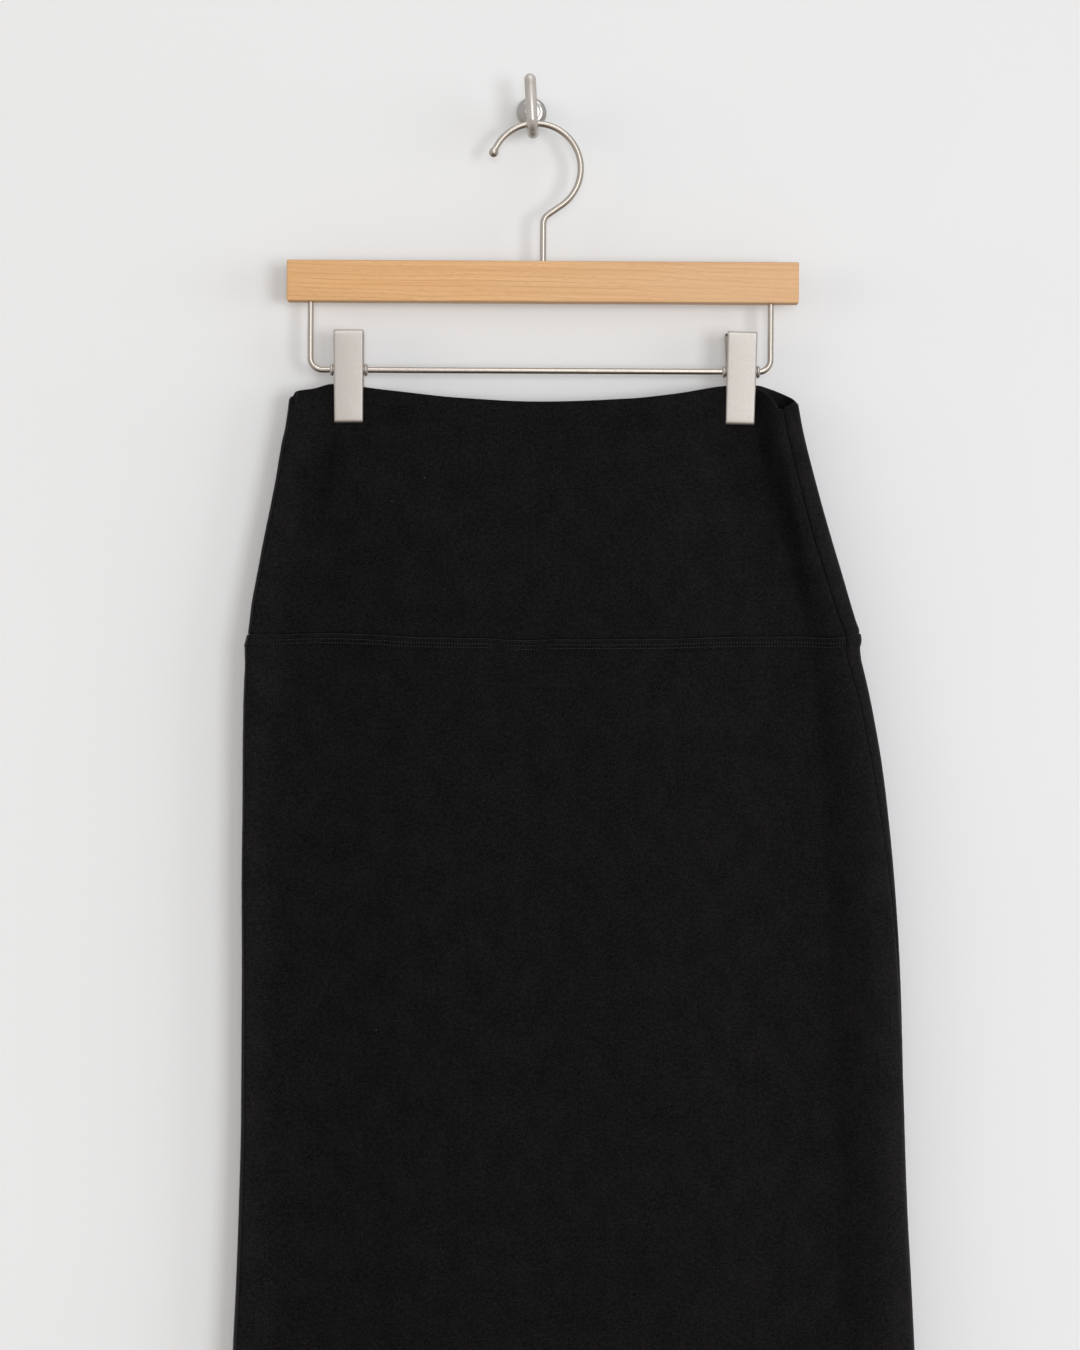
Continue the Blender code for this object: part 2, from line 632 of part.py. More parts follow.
def build_bar(hanger):
    """Wooden bar with eased edges and bores for the stem and the rail's two ends."""
    mesh = bpy.data.meshes.new("hanger_bar")
    body = bmesh.new()
    bmesh.ops.create_cube(body, size=1.0)
    bmesh.ops.scale(body, vec=(BAR_LENGTH, BAR_DEPTH, BAR_HEIGHT), verts=body.verts)
    bmesh.ops.translate(body, vec=(STEM_X, 0.0, BAR_TOP - 0.5 * BAR_HEIGHT), verts=body.verts)
    bmesh.ops.bevel(body, geom=body.edges[:], offset=BAR_EDGE_ROUND, segments=2,
                    affect="EDGES", profile=0.5)
    body.to_mesh(mesh)
    body.free()
    bar = place("hanger_bar", mesh, MATERIALS["pale wood"], hanger)
    bottom = BAR_TOP - BAR_HEIGHT
    bores = (
        ("stem_bore", STEM_X, WIRE_RADIUS, BAR_TOP - BAR_BORE_DEPTH, BAR_TOP + 1.0 * MM),
        ("rail_bore_left", RAIL_CENTRE_X - RAIL_HALF_SPAN, RAIL_RADIUS,
         bottom - 1.0 * MM, bottom + BAR_BORE_DEPTH),
        ("rail_bore_right", RAIL_CENTRE_X + RAIL_HALF_SPAN, RAIL_RADIUS,
         bottom - 1.0 * MM, bottom + BAR_BORE_DEPTH),
    )
    for name, x, radius, low, high in bores:
        guide = empty(name + "_place", (x, 0.0, 0.0), parent=hanger)
        bore = cylinder(name, radius + GAP, (0.0, 0.0, low), (0.0, 0.0, high), guide, 12)
        combine(bar, bore, "DIFFERENCE")


def build_rail(hanger):
    """U-shaped rod, its ends up in the bar's bores."""
    low = RAIL_HEIGHT
    high = BAR_TOP - BAR_HEIGHT + BAR_BORE_DEPTH - GAP
    left = RAIL_CENTRE_X - RAIL_HALF_SPAN
    right = RAIL_CENTRE_X + RAIL_HALF_SPAN
    bend = RAIL_BEND
    route = [(left, high)]
    route += arc((left + bend, low + bend), bend, math.pi, 1.5 * math.pi, 6)
    route += arc((right - bend, low + bend), bend, -0.5 * math.pi, 0.0, 6)
    route.append((right, high))
    path = [(x, 0.0, z) for x, z in route]
    radii = [RAIL_RADIUS] * len(path)
    place("clip_rail", rod_mesh("clip_rail", path, radii, 12), MATERIALS["satin nickel"],
          hanger)


# ================================================================ clips
def jaw_rings(rows, side):
    """Channel sections of a jaw: a face plate with a flange down each long edge."""
    rings = []
    edge = JAW_EDGE_ROUND
    sheet = JAW_SHEET
    for height, face, flange, half in rows:
        face, flange, half = face * MM, flange * MM, half * MM
        outline = (
            (-half, face - flange), (-half, face - edge), (-half + edge, face),
            (half - edge, face), (half, face - edge), (half, face - flange),
            (half - sheet, face - flange), (half - sheet, face - sheet),
            (-half + sheet, face - sheet), (-half + sheet, face - flange),
        )
        rings.append([(x, -side * off, height * MM) for x, off in outline])
    return rings


def build_jaw(name, rows, side, guide):
    return place(name, rings_mesh(name, jaw_rings(rows, side)), MATERIALS["satin nickel"],
                 guide)


def add_ears(jaw, guide):
    """Ears inside the front jaw that reach back around the eyelet."""
    for hand in (-1, 1):
        name = f"{jaw.name}_ear_{'left' if hand < 0 else 'right'}"
        inner_x = hand * (EAR_OUTER_X - JAW_SHEET)
        outer_x = hand * EAR_OUTER_X
        outline = [(-5.8 * MM, EAR_REACH), (-5.7 * MM, -EAR_REACH)]
        outline += arc((0.0, 0.0), EAR_REACH, -0.5 * math.pi, 0.5 * math.pi, 8)
        rings = [[(x, y, z) for y, z in outline] for x in (inner_x, outer_x)]
        ear = place(name, rings_mesh(name, rings), MATERIALS["satin nickel"], guide)
        combine(jaw, ear, "UNION")


def drill(jaw, guide):
    """Hole through the ears for the eyelet's barrel."""
    hole = cylinder(jaw.name + "_hole", EYELET_OUTER + HOLE_PLAY,
                    (-EYELET_SHOULDER, 0.0, 0.0), (EYELET_SHOULDER, 0.0, 0.0), guide, 24)
    combine(jaw, hole, "DIFFERENCE")


def build_eyelet(name, guide):
    """Barrel around the rail, flared outside the ears."""
    end = EYELET_HALF_LENGTH
    shoulder = EYELET_SHOULDER
    half = [(shoulder, EYELET_OUTER), (shoulder, EYELET_FLARE - 0.3 * MM),
            (shoulder + 0.4 * MM, EYELET_FLARE), (end - 0.7 * MM, EYELET_FLARE - 0.2 * MM),
            (end, EYELET_OUTER + 0.2 * MM), (end, EYELET_INNER)]
    profile = half + [(-along, radius) for along, radius in reversed(half)]
    place(name, turned_mesh(name, profile, 20), MATERIALS["satin nickel"], guide)


def build_spring(name, guide):
    """Coil around the barrel, with a leg up against each jaw."""
    coil = EYELET_OUTER + 2.0 * GAP + SPRING_WIRE_RADIUS
    half_turns = 2 * SPRING_TURNS + 1
    path = [(-SPRING_HALF_LENGTH, -SPRING_LEG_REACH, SPRING_LEG_HEIGHT)]
    for share in np.linspace(0.0, 1.0, 5 * half_turns + 1):
        turn = math.pi * (1.0 + half_turns * share)
        x = SPRING_HALF_LENGTH * (2.0 * share - 1.0)
        path.append((x, coil * math.cos(turn), coil * math.sin(turn)))
    path.append((SPRING_HALF_LENGTH, SPRING_LEG_REACH, SPRING_LEG_HEIGHT))
    radii = [SPRING_WIRE_RADIUS] * len(path)
    place(name, rod_mesh(name, path, radii, 6), MATERIALS["spring steel"], guide)


def build_clip(side_name, x, front_lean, back_lean, hanger):
    name = "clip_" + side_name
    on_rail = empty(name, (x, 0.0, RAIL_HEIGHT), 0.0, hanger)
    front_frame = empty(name + "_front", (0.0, 0.0, 0.0), front_lean, on_rail)
    back_frame = empty(name + "_back", (0.0, 0.0, 0.0), back_lean, on_rail)
    front = build_jaw(name + "_front_jaw", FRONT_JAW, 1, front_frame)
    add_ears(front, front_frame)
    drill(front, front_frame)
    back = build_jaw(name + "_back_jaw", BACK_JAW, -1, back_frame)
    drill(back, back_frame)
    build_eyelet(name + "_eyelet", on_rail)
    build_spring(name + "_spring", on_rail)


# ================================================================ assembly
clear_scene()
MATERIALS = {
    "black double knit": make_material("black double knit", (0.008, 0.008, 0.009), 0.9, 0.0),
    "satin nickel": make_material("satin nickel", (0.70, 0.66, 0.61), 0.35, 1.0),
    "polished chrome": make_material("polished chrome", (0.78, 0.78, 0.78), 0.12, 1.0),
    "pale wood": make_material("pale wood", (0.72, 0.43, 0.21), 0.55, 0.0),
    "spring steel": make_material("spring steel", (0.45, 0.44, 0.42), 0.3, 1.0),
}
build_wall_hook()
HANGER = empty("hanger", CROWN, HANGER_TILT)
build_hanger_hook(HANGER)
build_bar(HANGER)
build_rail(HANGER)
for clip_side, clip_x, clip_front_lean, clip_back_lean in CLIPS:
    build_clip(clip_side, clip_x, clip_front_lean, clip_back_lean, HANGER)
build_yoke("yoke_front", front_columns)
build_yoke("yoke_back", back_columns)
build_skirt("skirt_front", front_columns)
build_skirt("skirt_back", back_columns)
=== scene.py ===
"""Looks of a midi skirt that hangs from a clip hanger on a wall hook.

Frame: metres, +Z up, the wall is the plane y = 0 and the skirt hangs in front of it.
Tables are in millimetres. Shapes are grids of points worked out as whole arrays.
"""
import json
import math

import bpy
import numpy as np
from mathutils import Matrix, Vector

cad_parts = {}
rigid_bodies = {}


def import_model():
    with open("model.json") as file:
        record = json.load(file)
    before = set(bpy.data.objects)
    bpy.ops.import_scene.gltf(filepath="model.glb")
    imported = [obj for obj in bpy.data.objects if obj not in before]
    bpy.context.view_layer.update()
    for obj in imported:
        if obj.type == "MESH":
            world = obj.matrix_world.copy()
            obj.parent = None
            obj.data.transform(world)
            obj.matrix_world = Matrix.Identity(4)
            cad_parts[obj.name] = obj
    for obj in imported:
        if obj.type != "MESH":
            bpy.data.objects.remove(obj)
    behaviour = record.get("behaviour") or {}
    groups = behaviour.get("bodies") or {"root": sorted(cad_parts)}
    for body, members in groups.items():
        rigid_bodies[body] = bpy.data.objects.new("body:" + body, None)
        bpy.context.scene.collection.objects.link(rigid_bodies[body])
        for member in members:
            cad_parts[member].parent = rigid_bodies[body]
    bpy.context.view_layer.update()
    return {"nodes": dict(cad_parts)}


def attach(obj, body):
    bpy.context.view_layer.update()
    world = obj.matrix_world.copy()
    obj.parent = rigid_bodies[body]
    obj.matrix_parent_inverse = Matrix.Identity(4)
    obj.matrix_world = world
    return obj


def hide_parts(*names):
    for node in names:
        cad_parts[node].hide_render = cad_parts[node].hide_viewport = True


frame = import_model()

MM = 0.001
FULL_TURN = 2.0 * math.pi
HALF_TURN = math.pi
QUARTER = 0.5 * math.pi

# ---------------------------------------------------------------- sizes shared with the solids
HANG_Y = -22.5                      # mid-plane of hanger and skirt, millimetres
CROWN = (3.2, HANG_Y, -11.45)       # top of the wire hook's crown
HANGER_TILT = math.radians(0.3)     # right end a little lower
WALL_HOOK_TURN = math.radians(3.0)  # the hook stands slightly askew

ROSETTE_RADIUS = 10.6
ROSETTE_DEPTH = 6.0
WALL_HOOK_RADIUS = 4.0
WALL_HOOK_NECK_BEND = 6.0
WALL_HOOK_VALLEY = 9.0              # radius of the valley, along the rod's centre
WALL_HOOK_TIP_RISE = 26.0
HOOK_CLEARANCE = 0.3                # between the hanger's wire and the valley
WALL_HOOK_TIP_LEAN = math.radians(13.0)

WIRE_RADIUS = 2.2
WIRE_BALL_RADIUS = 3.3
WIRE_ARC_RADIUS = 31.5
WIRE_ARC_START = math.radians(159.5)
WIRE_ARC_END = math.radians(-55.0)
WIRE_STEM_BEND = 8.0
STEM_X = 5.4

BAR_TOP = -97.0
BAR_HEIGHT = 28.5
BORE_DEPTH = 17.0                   # how deep stem and rail run into the bar

RAIL_RADIUS = 2.1
RAIL_HALF_SPAN = 161.0
RAIL_CENTRE_X = 4.0
RAIL_HEIGHT = -173.2
RAIL_BEND = 8.5

# name, place along the rail, lean of the front jaw, lean of the back jaw
CLIPS = (
    ("left", -130.0, math.radians(-0.3), math.radians(-0.3)),
    ("right", 144.4, math.radians(1.2), math.radians(-2.3)),
)

# ---------------------------------------------------------------- skirt tables
YOKE_WALL = 2.0                     # the waistband is cut double
SKIRT_WALL = 1.3
HEM_WALL = 2.6                      # turned up once
HEM_DEPTH = 25.0
HEM_HEIGHT = -1026.5
PRESSED = 2.15                      # half depth of the cloth between closed jaws
DEPTH_BLEND = 120.0                 # the side depths fade into the middle over this
CALM_FROM = -262.0                  # above this height the jaws press creases flat
CALM_FADE = 40.0                    # and this much higher they are gone

# Edges, insets of the side seams, widths of the rolled edges and half depths, by height.
OUTLINE_COLUMNS = ("z", "left", "right", "seam_l", "seam_r",
                   "roll_l", "roll_r", "deep_l", "deep_m", "deep_r")
OUTLINE = (
    (-204.0, -169.6, 186.2, 3.0, 11.6, 5.0, 15.2, 5.8, 5.4, 7.0),
    (-213.4, -170.7, 187.8, 2.0, 11.8, 4.7, 15.4, 6.1, 5.6, 7.1),
    (-224.6, -172.4, 189.8, 1.4, 11.9, 4.3, 15.6, 6.5, 5.9, 7.2),
    (-235.8, -174.9, 192.3, 1.1, 12.0, 4.0, 15.9, 6.7, 6.2, 7.4),
    (-247.0, -176.8, 195.1, 1.1, 12.0, 3.8, 16.4, 7.0, 6.4, 7.5),
    (-258.2, -178.6, 198.0, 1.1, 12.1, 3.7, 17.0, 7.2, 6.7, 7.6),
    (-280.6, -182.9, 204.0, 1.2, 12.5, 3.6, 18.6, 7.5, 7.3, 7.8),
    (-303.0, -187.5, 210.4, 1.3, 13.0, 3.6, 20.2, 7.8, 7.9, 8.0),
    (-325.4, -191.7, 217.1, 1.3, 12.7, 3.6, 21.5, 8.1, 8.3, 8.3),
    (-347.8, -195.8, 223.6, 1.0, 12.1, 3.5, 22.5, 8.4, 8.8, 8.7),
    (-359.0, -197.2, 227.0, 0.6, 11.7, 3.5, 22.9, 8.5, 9.0, 8.8),
    (-367.4, -198.2, 229.8, 0.4, 11.3, 3.5, 23.0, 8.6, 9.2, 9.0),
    (-373.0, -199.6, 230.8, 0.3, 11.1, 3.5, 23.0, 8.7, 9.3, 9.1),
    (-378.6, -200.8, 230.2, 0.3, 10.8, 3.5, 23.0, 8.8, 9.4, 9.2),
    (-384.2, -200.7, 230.5, 0.2, 10.4, 3.5, 23.0, 8.8, 9.5, 9.3),
    (-389.8, -200.6, 231.6, 0.1, 10.0, 3.5, 23.0, 8.9, 9.6, 9.4),
    (-401.0, -201.0, 234.3, 0.0, 9.3, 3.5, 23.0, 9.0, 9.8, 9.6),
    (-417.8, -201.6, 237.9, 0.0, 8.4, 3.5, 23.2, 9.2, 10.1, 9.9),
    (-457.0, -202.1, 244.9, 0.0, 7.5, 3.5, 24.0, 9.5, 10.7, 10.4),
    (-485.0, -202.2, 248.6, 0.0, 6.4, 3.5, 24.0, 9.7, 11.2, 10.7),
    (-541.0, -202.9, 254.1, 0.2, 3.8, 3.6, 24.0, 10.1, 11.8, 11.2),
    (-597.0, -202.6, 257.7, 0.8, 1.5, 3.9, 24.3, 10.5, 12.5, 11.7),
    (-653.0, -202.9, 259.7, 1.5, 0.3, 4.4, 25.0, 10.8, 12.9, 12.1),
    (-709.0, -203.2, 261.1, 1.7, -0.2, 4.6, 25.0, 11.2, 13.3, 12.4),
    (-765.0, -204.6, 262.9, 1.8, -0.6, 4.7, 25.0, 11.5, 13.6, 12.7),
    (-821.0, -206.6, 265.8, 1.8, -0.7, 4.7, 25.5, 11.8, 13.9, 13.0),
    (-870.0, -208.9, 268.2, 1.8, -0.8, 4.8, 26.0, 12.0, 14.2, 13.2),
    (-1026.5, -213.4, 274.5, 1.6, -0.8, 4.8, 26.0, 12.8, 14.9, 13.8),
)

# Folded top edge of the waistband: place across, height in front and behind.
TOP_EDGE_COLUMNS = ("x", "front", "back")
TOP_EDGE = (
    (-171.0, -205.6, -205.6),
    (-169.4, -203.8, -204.4),
    (-168.2, -202.9, -203.6),
    (-166.8, -202.5, -203.0),
    (-165.6, -200.7, -202.5),
    (-164.4, -199.4, -202.0),
    (-162.8, -198.9, -201.4),
    (-152.0, -197.1, -199.2),
    (-139.6, -193.8, -196.4),
    (-128.0, -193.6, -195.6),
    (-117.2, -195.9, -196.8),
    (-92.0, -199.2, -199.6),
    (-53.5, -203.5, -203.0),
    (6.0, -206.5, -205.6),
    (68.3, -204.3, -203.8),
    (101.9, -200.7, -200.8),
    (135.5, -195.2, -196.2),
    (146.0, -194.6, -195.0),
    (153.0, -195.2, -194.6),
    (158.2, -197.0, -194.7),
    (162.9, -199.9, -195.5),
    (166.4, -202.8, -196.5),
    (169.3, -206.3, -197.4),
    (171.4, -210.4, -198.2),
    (172.8, -211.9, -198.8),
    (174.9, -212.1, -199.6),
    (176.9, -210.6, -200.4),
    (180.4, -209.3, -202.0),
    (184.0, -207.3, -204.0),
    (186.2, -207.7, -206.4),
    (187.8, -208.2, -207.8),
)

# Seam between waistband and skirt, with its small dips: place across, height.
YOKE_SEAM_COLUMNS = ("x", "z")
YOKE_SEAM = (
    (-200.0, -369.3),
    (-188.6, -369.3),
    (-174.0, -369.3),
    (-164.8, -368.8),
    (-141.0, -368.5),
    (-109.5, -369.5),
    (-87.1, -370.9),
    (-62.0, -371.7),
    (-32.5, -372.0),
    (-15.0, -373.3),
    (3.2, -373.4),
    (14.0, -372.8),
    (48.0, -372.8),
    (96.3, -372.4),
    (138.0, -371.2),
    (184.5, -370.9),
    (208.7, -371.9),
    (218.0, -371.0),
    (227.0, -368.6),
    (232.0, -368.2),
)

# Soft troughs that run down from the clips: centre, half width of the pressed strip,
# reach to the left and right, how far front and back are pressed in.
TROUGH_COLUMNS = ("z", "x", "flat", "reach_l", "reach_r", "front", "back")
LEFT_TROUGH = (
    (-190.0, -127.6, 12.0, 18.0, 30.0, 1.00, 1.00),
    (-223.0, -128.5, 12.0, 17.0, 28.0, 1.00, 1.00),
    (-230.0, -143.0, 4.0, 14.0, 14.0, 0.98, 0.92),
    (-241.0, -151.0, 3.0, 13.0, 14.0, 0.92, 0.84),
    (-256.0, -156.5, 3.0, 13.0, 17.0, 0.82, 0.74),
    (-276.0, -158.5, 2.0, 15.0, 30.0, 0.80, 0.62),
    (-309.0, -162.5, 2.0, 17.0, 48.0, 0.80, 0.54),
    (-368.0, -169.5, 2.0, 17.5, 64.0, 0.78, 0.46),
    (-485.0, -177.0, 2.0, 18.0, 80.0, 0.75, 0.40),
    (-625.0, -177.5, 2.0, 18.5, 86.0, 0.70, 0.36),
    (-765.0, -175.0, 2.0, 21.0, 90.0, 0.64, 0.30),
    (-1026.5, -177.0, 2.0, 24.0, 90.0, 0.48, 0.24),
)
RIGHT_TROUGH = (
    (-190.0, 147.6, 11.5, 30.0, 6.0, 1.00, 1.00),
    (-204.0, 147.6, 9.5, 30.0, 5.5, 1.00, 1.00),
    (-226.0, 147.5, 10.0, 30.0, 6.0, 1.00, 1.00),
    (-262.0, 157.5, 7.0, 42.0, 10.0, 0.92, 0.66),
    (-309.0, 171.0, 6.0, 50.0, 10.5, 0.76, 0.42),
    (-368.0, 186.0, 4.0, 56.0, 13.0, 0.52, 0.28),
    (-440.0, 193.5, 3.0, 60.0, 14.0, 0.40, 0.20),
    (-485.0, 197.5, 3.0, 62.0, 14.0, 0.35, 0.18),
    (-625.0, 202.5, 3.0, 64.0, 15.0, 0.30, 0.15),
    (-1026.5, 212.0, 3.0, 66.0, 18.0, 0.20, 0.10),
)

# The left edge stands proud: how far, how far in from the edge, half width.
RIDGE_HEIGHT, RIDGE_INSET, RIDGE_WIDTH = 0.85, 0.5, 7.5

# Soft ridges (+) and troughs (-) in the cloth: from place and height to
# place and height, half width, how far it stands out, millimetres.
FRONT_CREASES = (
    # from the left clip
    (-127.0, -228.0, -96.0, -300.0, 16.0, -0.55),
    (-118.0, -236.0, -70.0, -262.0, 9.0, -0.30),
    (-133.0, -240.0, -140.0, -280.0, 8.0, 0.60),
    (-100.0, -212.0, -20.0, -226.0, 8.0, 0.25),
    # from the right clip
    (146.0, -228.0, 120.0, -292.0, 18.0, -0.50),
    (138.0, -236.0, 92.0, -262.0, 9.0, -0.28),
    (172.0, -226.0, 182.0, -275.0, 3.6, 0.70),
    (182.0, -275.0, 192.0, -335.0, 4.2, 0.60),
    (118.0, -214.0, 40.0, -228.0, 8.0, 0.25),
    # small hollows either side of the waistband seam
    (206.0, -378.0, 214.0, -386.0, 9.0, -0.90),
    (-172.0, -376.0, -168.0, -392.0, 9.0, -0.45),
    (-12.0, -366.0, 6.0, -368.0, 14.0, -0.25),
    (196.0, -352.0, 204.0, -366.0, 10.0, -0.45),
    # long drape lines
    (-60.0, -420.0, -48.0, -1020.0, 46.0, 0.28),
    (72.0, -400.0, 96.0, -1020.0, 52.0, 0.30),
    (10.0, -520.0, 24.0, -1020.0, 30.0, -0.20),
    (150.0, -430.0, 176.0, -1020.0, 26.0, -0.22),
    (-128.0, -430.0, -126.0, -1020.0, 30.0, -0.16),
    (236.0, -560.0, 248.0, -1020.0, 12.0, 0.20),
)
BACK_CREASES = (
    (-130.0, -228.0, -104.0, -296.0, 16.0, -0.50),
    (-116.0, -236.0, -66.0, -258.0, 9.0, -0.28),
    (146.0, -228.0, 116.0, -300.0, 18.0, -0.50),
    (132.0, -238.0, 84.0, -260.0, 10.0, -0.26),
    (-90.0, -214.0, -10.0, -224.0, 8.0, 0.22),
    (110.0, -214.0, 44.0, -226.0, 8.0, 0.24),
    (-160.0, -376.0, -156.0, -394.0, 11.0, -0.50),
    (188.0, -376.0, 194.0, -392.0, 12.0, -0.60),
    (24.0, -366.0, 40.0, -368.0, 14.0, -0.25),
    (-84.0, -410.0, -78.0, -1020.0, 44.0, 0.55),
    (60.0, -420.0, 76.0, -1020.0, 56.0, 0.50),
    (-14.0, -500.0, -6.0, -1020.0, 30.0, -0.42),
    (140.0, -430.0, 158.0, -1020.0, 28.0, -0.42),
    (-150.0, -440.0, -158.0, -1020.0, 22.0, -0.35),
)

# ---------------------------------------------------------------- sewing
NEEDLE_ROWS = (3.5, 6.5)            # topstitching, below the waistband seam
HEM_NEEDLE_ROWS = (20.6, 24.4)      # twin-needle rows above the hem's edge
STITCH_PITCH = 2.05
STITCH_LENGTH = 1.20
STITCH_LIFT = 0.12                  # of a row of stitches over the cloth
STITCH_SINK = 0.30                  # how far a row drops where it is fully sunk
THREAD_RADIUS = 0.20
ALLOWANCE = 9.0                     # turned-down seam allowance that shows as a low band
SEAM_EDGE = 0.55                    # the cloth rolls into a side seam over this width
WAIST_SEAM_EDGE = (1.25, 0.80)      # the same at the waistband seam, above and below
SEAM_SLIT = 0.04                    # left between two sewn edges

# Where the topstitching sinks into the cloth: place across, half width.
SUNK_FRONT = ((-21.0, 9.0), (7.0, 6.0), (-186.0, 12.0))
SUNK_BACK = ((40.0, 9.0), (-120.0, 7.0), (226.0, 7.0))

# ---------------------------------------------------------------- how finely a panel is worked out
FLAT_COLUMNS = 190
ROLL_COLUMNS = 18
SETTLING_ROUNDS = 6
# Distances of the close rows and columns from a panel's edges.
SIDE_COLUMNS = (0.0, 0.06, 0.16, 0.32, 0.55, 0.9, 1.5, 2.6)
YOKE_TOP_ROWS = (0.0, 0.05, 0.18, 0.4, 0.7, 1.05, 1.5, 2.1, 3.0, 4.4, 6.5)
YOKE_LOW_ROWS = (0.0, 0.04, 0.1, 0.2, 0.35, 0.55, 0.85, 1.3, 2.0, 3.2, 5.0, 7.5)
SKIRT_TOP_ROWS = (0.0, 0.05, 0.13, 0.25, 0.42, 0.65, 0.95, 1.4, 1.9, 2.35, 2.7, 3.0, 3.3, 3.65,
                  4.1, 4.7, 5.3, 5.75, 6.1, 6.4, 6.7, 7.05, 7.6, 8.3, 9.0, 9.6, 10.4, 12.0,
                  14.5, 18.0)
SKIRT_LOW_ROWS = (0.0, 0.08, 0.25, 0.55, 0.95, 1.4, 2.0, 3.0, 5.0, 8.0, 12.0, 16.0, 19.0, 20.0,
                  20.6, 21.2, 22.4, 23.7, 24.3, 24.9, 25.2, 25.8, 27.5, 31.0)


# ================================================================ tools
def smooth_curve(at, stations, values):
    """Monotone cubic through a table's rows, constant beyond its ends.

    Slopes at the rows are the harmonic mean of the slopes on either side, or zero where
    the table turns.
    """
    at = np.clip(at, stations[0], stations[-1])
    step = np.diff(stations)
    slope = np.diff(values) / step
    same_way = slope[1:] * slope[:-1] > 0
    total = np.where(same_way, slope[1:] + slope[:-1], 1.0)
    inner = np.where(same_way, 2.0 * slope[1:] * slope[:-1] / total, 0.0)
    tangent = np.concatenate(([slope[0]], inner, [slope[-1]]))
    cell = np.clip(np.searchsorted(stations, at, side="right") - 1, 0, len(step) - 1)
    t = (at - stations[cell]) / step[cell]
    rise = values[cell + 1] - values[cell]
    a = step[cell] * tangent[cell]
    b = step[cell] * tangent[cell + 1]
    return (values[cell] + t * a + t * t * (3 * rise - 2 * a - b)
            + t * t * t * (a + b - 2 * rise))


class Table:
    """Rows of a table as smooth curves over its first column."""

    def __init__(self, columns, rows):
        data = np.array(sorted(rows), dtype=float)
        self.stations = data[:, 0]
        self.values = {name: data[:, index] for index, name in enumerate(columns)}

    def read(self, column, at):
        """Values of one column at any places along the first."""
        return smooth_curve(np.asarray(at, dtype=float), self.stations, self.values[column])


def smoothstep(t):
    """Soft step from 0 to 1: t * t * (3 - 2 t)."""
    t = np.clip(t, 0.0, 1.0)
    return t * t * (3.0 - 2.0 * t)


def bump(t):
    """Bell of height 1 and half width about 1: e to the power of -t * t."""
    return np.exp(-t * t)


def unit(vectors):
    """Vectors divided by their own lengths."""
    return vectors / np.maximum(np.linalg.norm(vectors, axis=-1, keepdims=True), 1e-12)


def round_turns(count):
    """Even angles of a full circle, the last one short of the first."""
    return np.linspace(0.0, FULL_TURN, count, endpoint=False)


def wrapped_quads(rows, columns):
    """Corner numbers of the quads of a grid whose last column joins its first."""
    index = np.arange(rows * columns).reshape(rows, columns)
    ahead = np.roll(index, -1, axis=1)
    return np.stack((index[:-1], ahead[:-1], ahead[1:], index[1:]), axis=-1).reshape(-1, 4)


def make_piece(name, points, quads, material, caps=(), maps=(), smooth=None):
    """Mesh object from points in millimetres, quads and a few many-sided caps.

    maps are (name, pair of lengths at each point) layers; smooth is the angle, in degrees,
    above which an edge stays sharp.
    """
    points = np.asarray(points, dtype=float).reshape(-1, 3) * MM
    quads = np.asarray(quads, dtype=np.int32)
    mesh = bpy.data.meshes.new(name)
    corner_lists = [quads.ravel()] + [np.asarray(cap, dtype=np.int32) for cap in caps]
    corners = np.concatenate(corner_lists)
    sizes = np.concatenate((np.full(len(quads), 4), [len(cap) for cap in caps])).astype(int)
    starts = np.concatenate(([0], np.cumsum(sizes)[:-1])).astype(np.int32)
    mesh.vertices.add(len(points))
    mesh.vertices.foreach_set("co", points.astype(np.float32).ravel())
    mesh.loops.add(len(corners))
    mesh.loops.foreach_set("vertex_index", corners.astype(np.int32))
    mesh.polygons.add(len(sizes))
    mesh.polygons.foreach_set("loop_start", starts)
    mesh.polygons.foreach_set("use_smooth", np.ones(len(sizes), dtype=bool))
    mesh.update(calc_edges=True)
    mesh.validate(verbose=False)
    for title, pairs in maps:
        layer = mesh.uv_layers.new(name=title)
        flat = (np.asarray(pairs, dtype=float).reshape(-1, 2) * MM)[corners]
        layer.data.foreach_set("uv", flat.astype(np.float32).ravel())
    if smooth is not None:
        mesh.set_sharp_from_angle(angle=math.radians(smooth))
    mesh.materials.append(material)
    piece = bpy.data.objects.new(name, mesh)
    bpy.context.scene.collection.objects.link(piece)
    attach(piece, "root")
    return piece


def turn_about_y(points, angle, centre=(0.0, 0.0, 0.0)):
    """Points turned about an axis along Y through a centre, as an empty tilted by angle."""
    centre = np.asarray(centre, dtype=float)
    c, s = math.cos(angle), math.sin(angle)
    turn = np.array(((c, 0.0, s), (0.0, 1.0, 0.0), (-s, 0.0, c)))
    return (np.asarray(points, dtype=float) - centre) @ turn.T + centre


def on_hanger(points):
    """Points measured from the wire hook's crown, carried into the frame with its tilt."""
    return turn_about_y(points, HANGER_TILT) + np.array(CROWN)


def in_hanger_plane(flat):
    """Points (x, height) of the hanger's own plane as (x, 0, height)."""
    return np.insert(flat, 1, 0.0, axis=1)


def on_circle(centre, radius, turns):
    """Points of a circle in a plane: centre plus radius times (cosine, sine)."""
    return np.stack((centre[0] + radius * np.cos(turns),
                     centre[1] + radius * np.sin(turns)), axis=-1)


def arc(centre, radius, start, end, steps):
    """Points of a circle's arc, in even steps from start to end."""
    return on_circle(centre, radius, np.linspace(start, end, steps + 1))


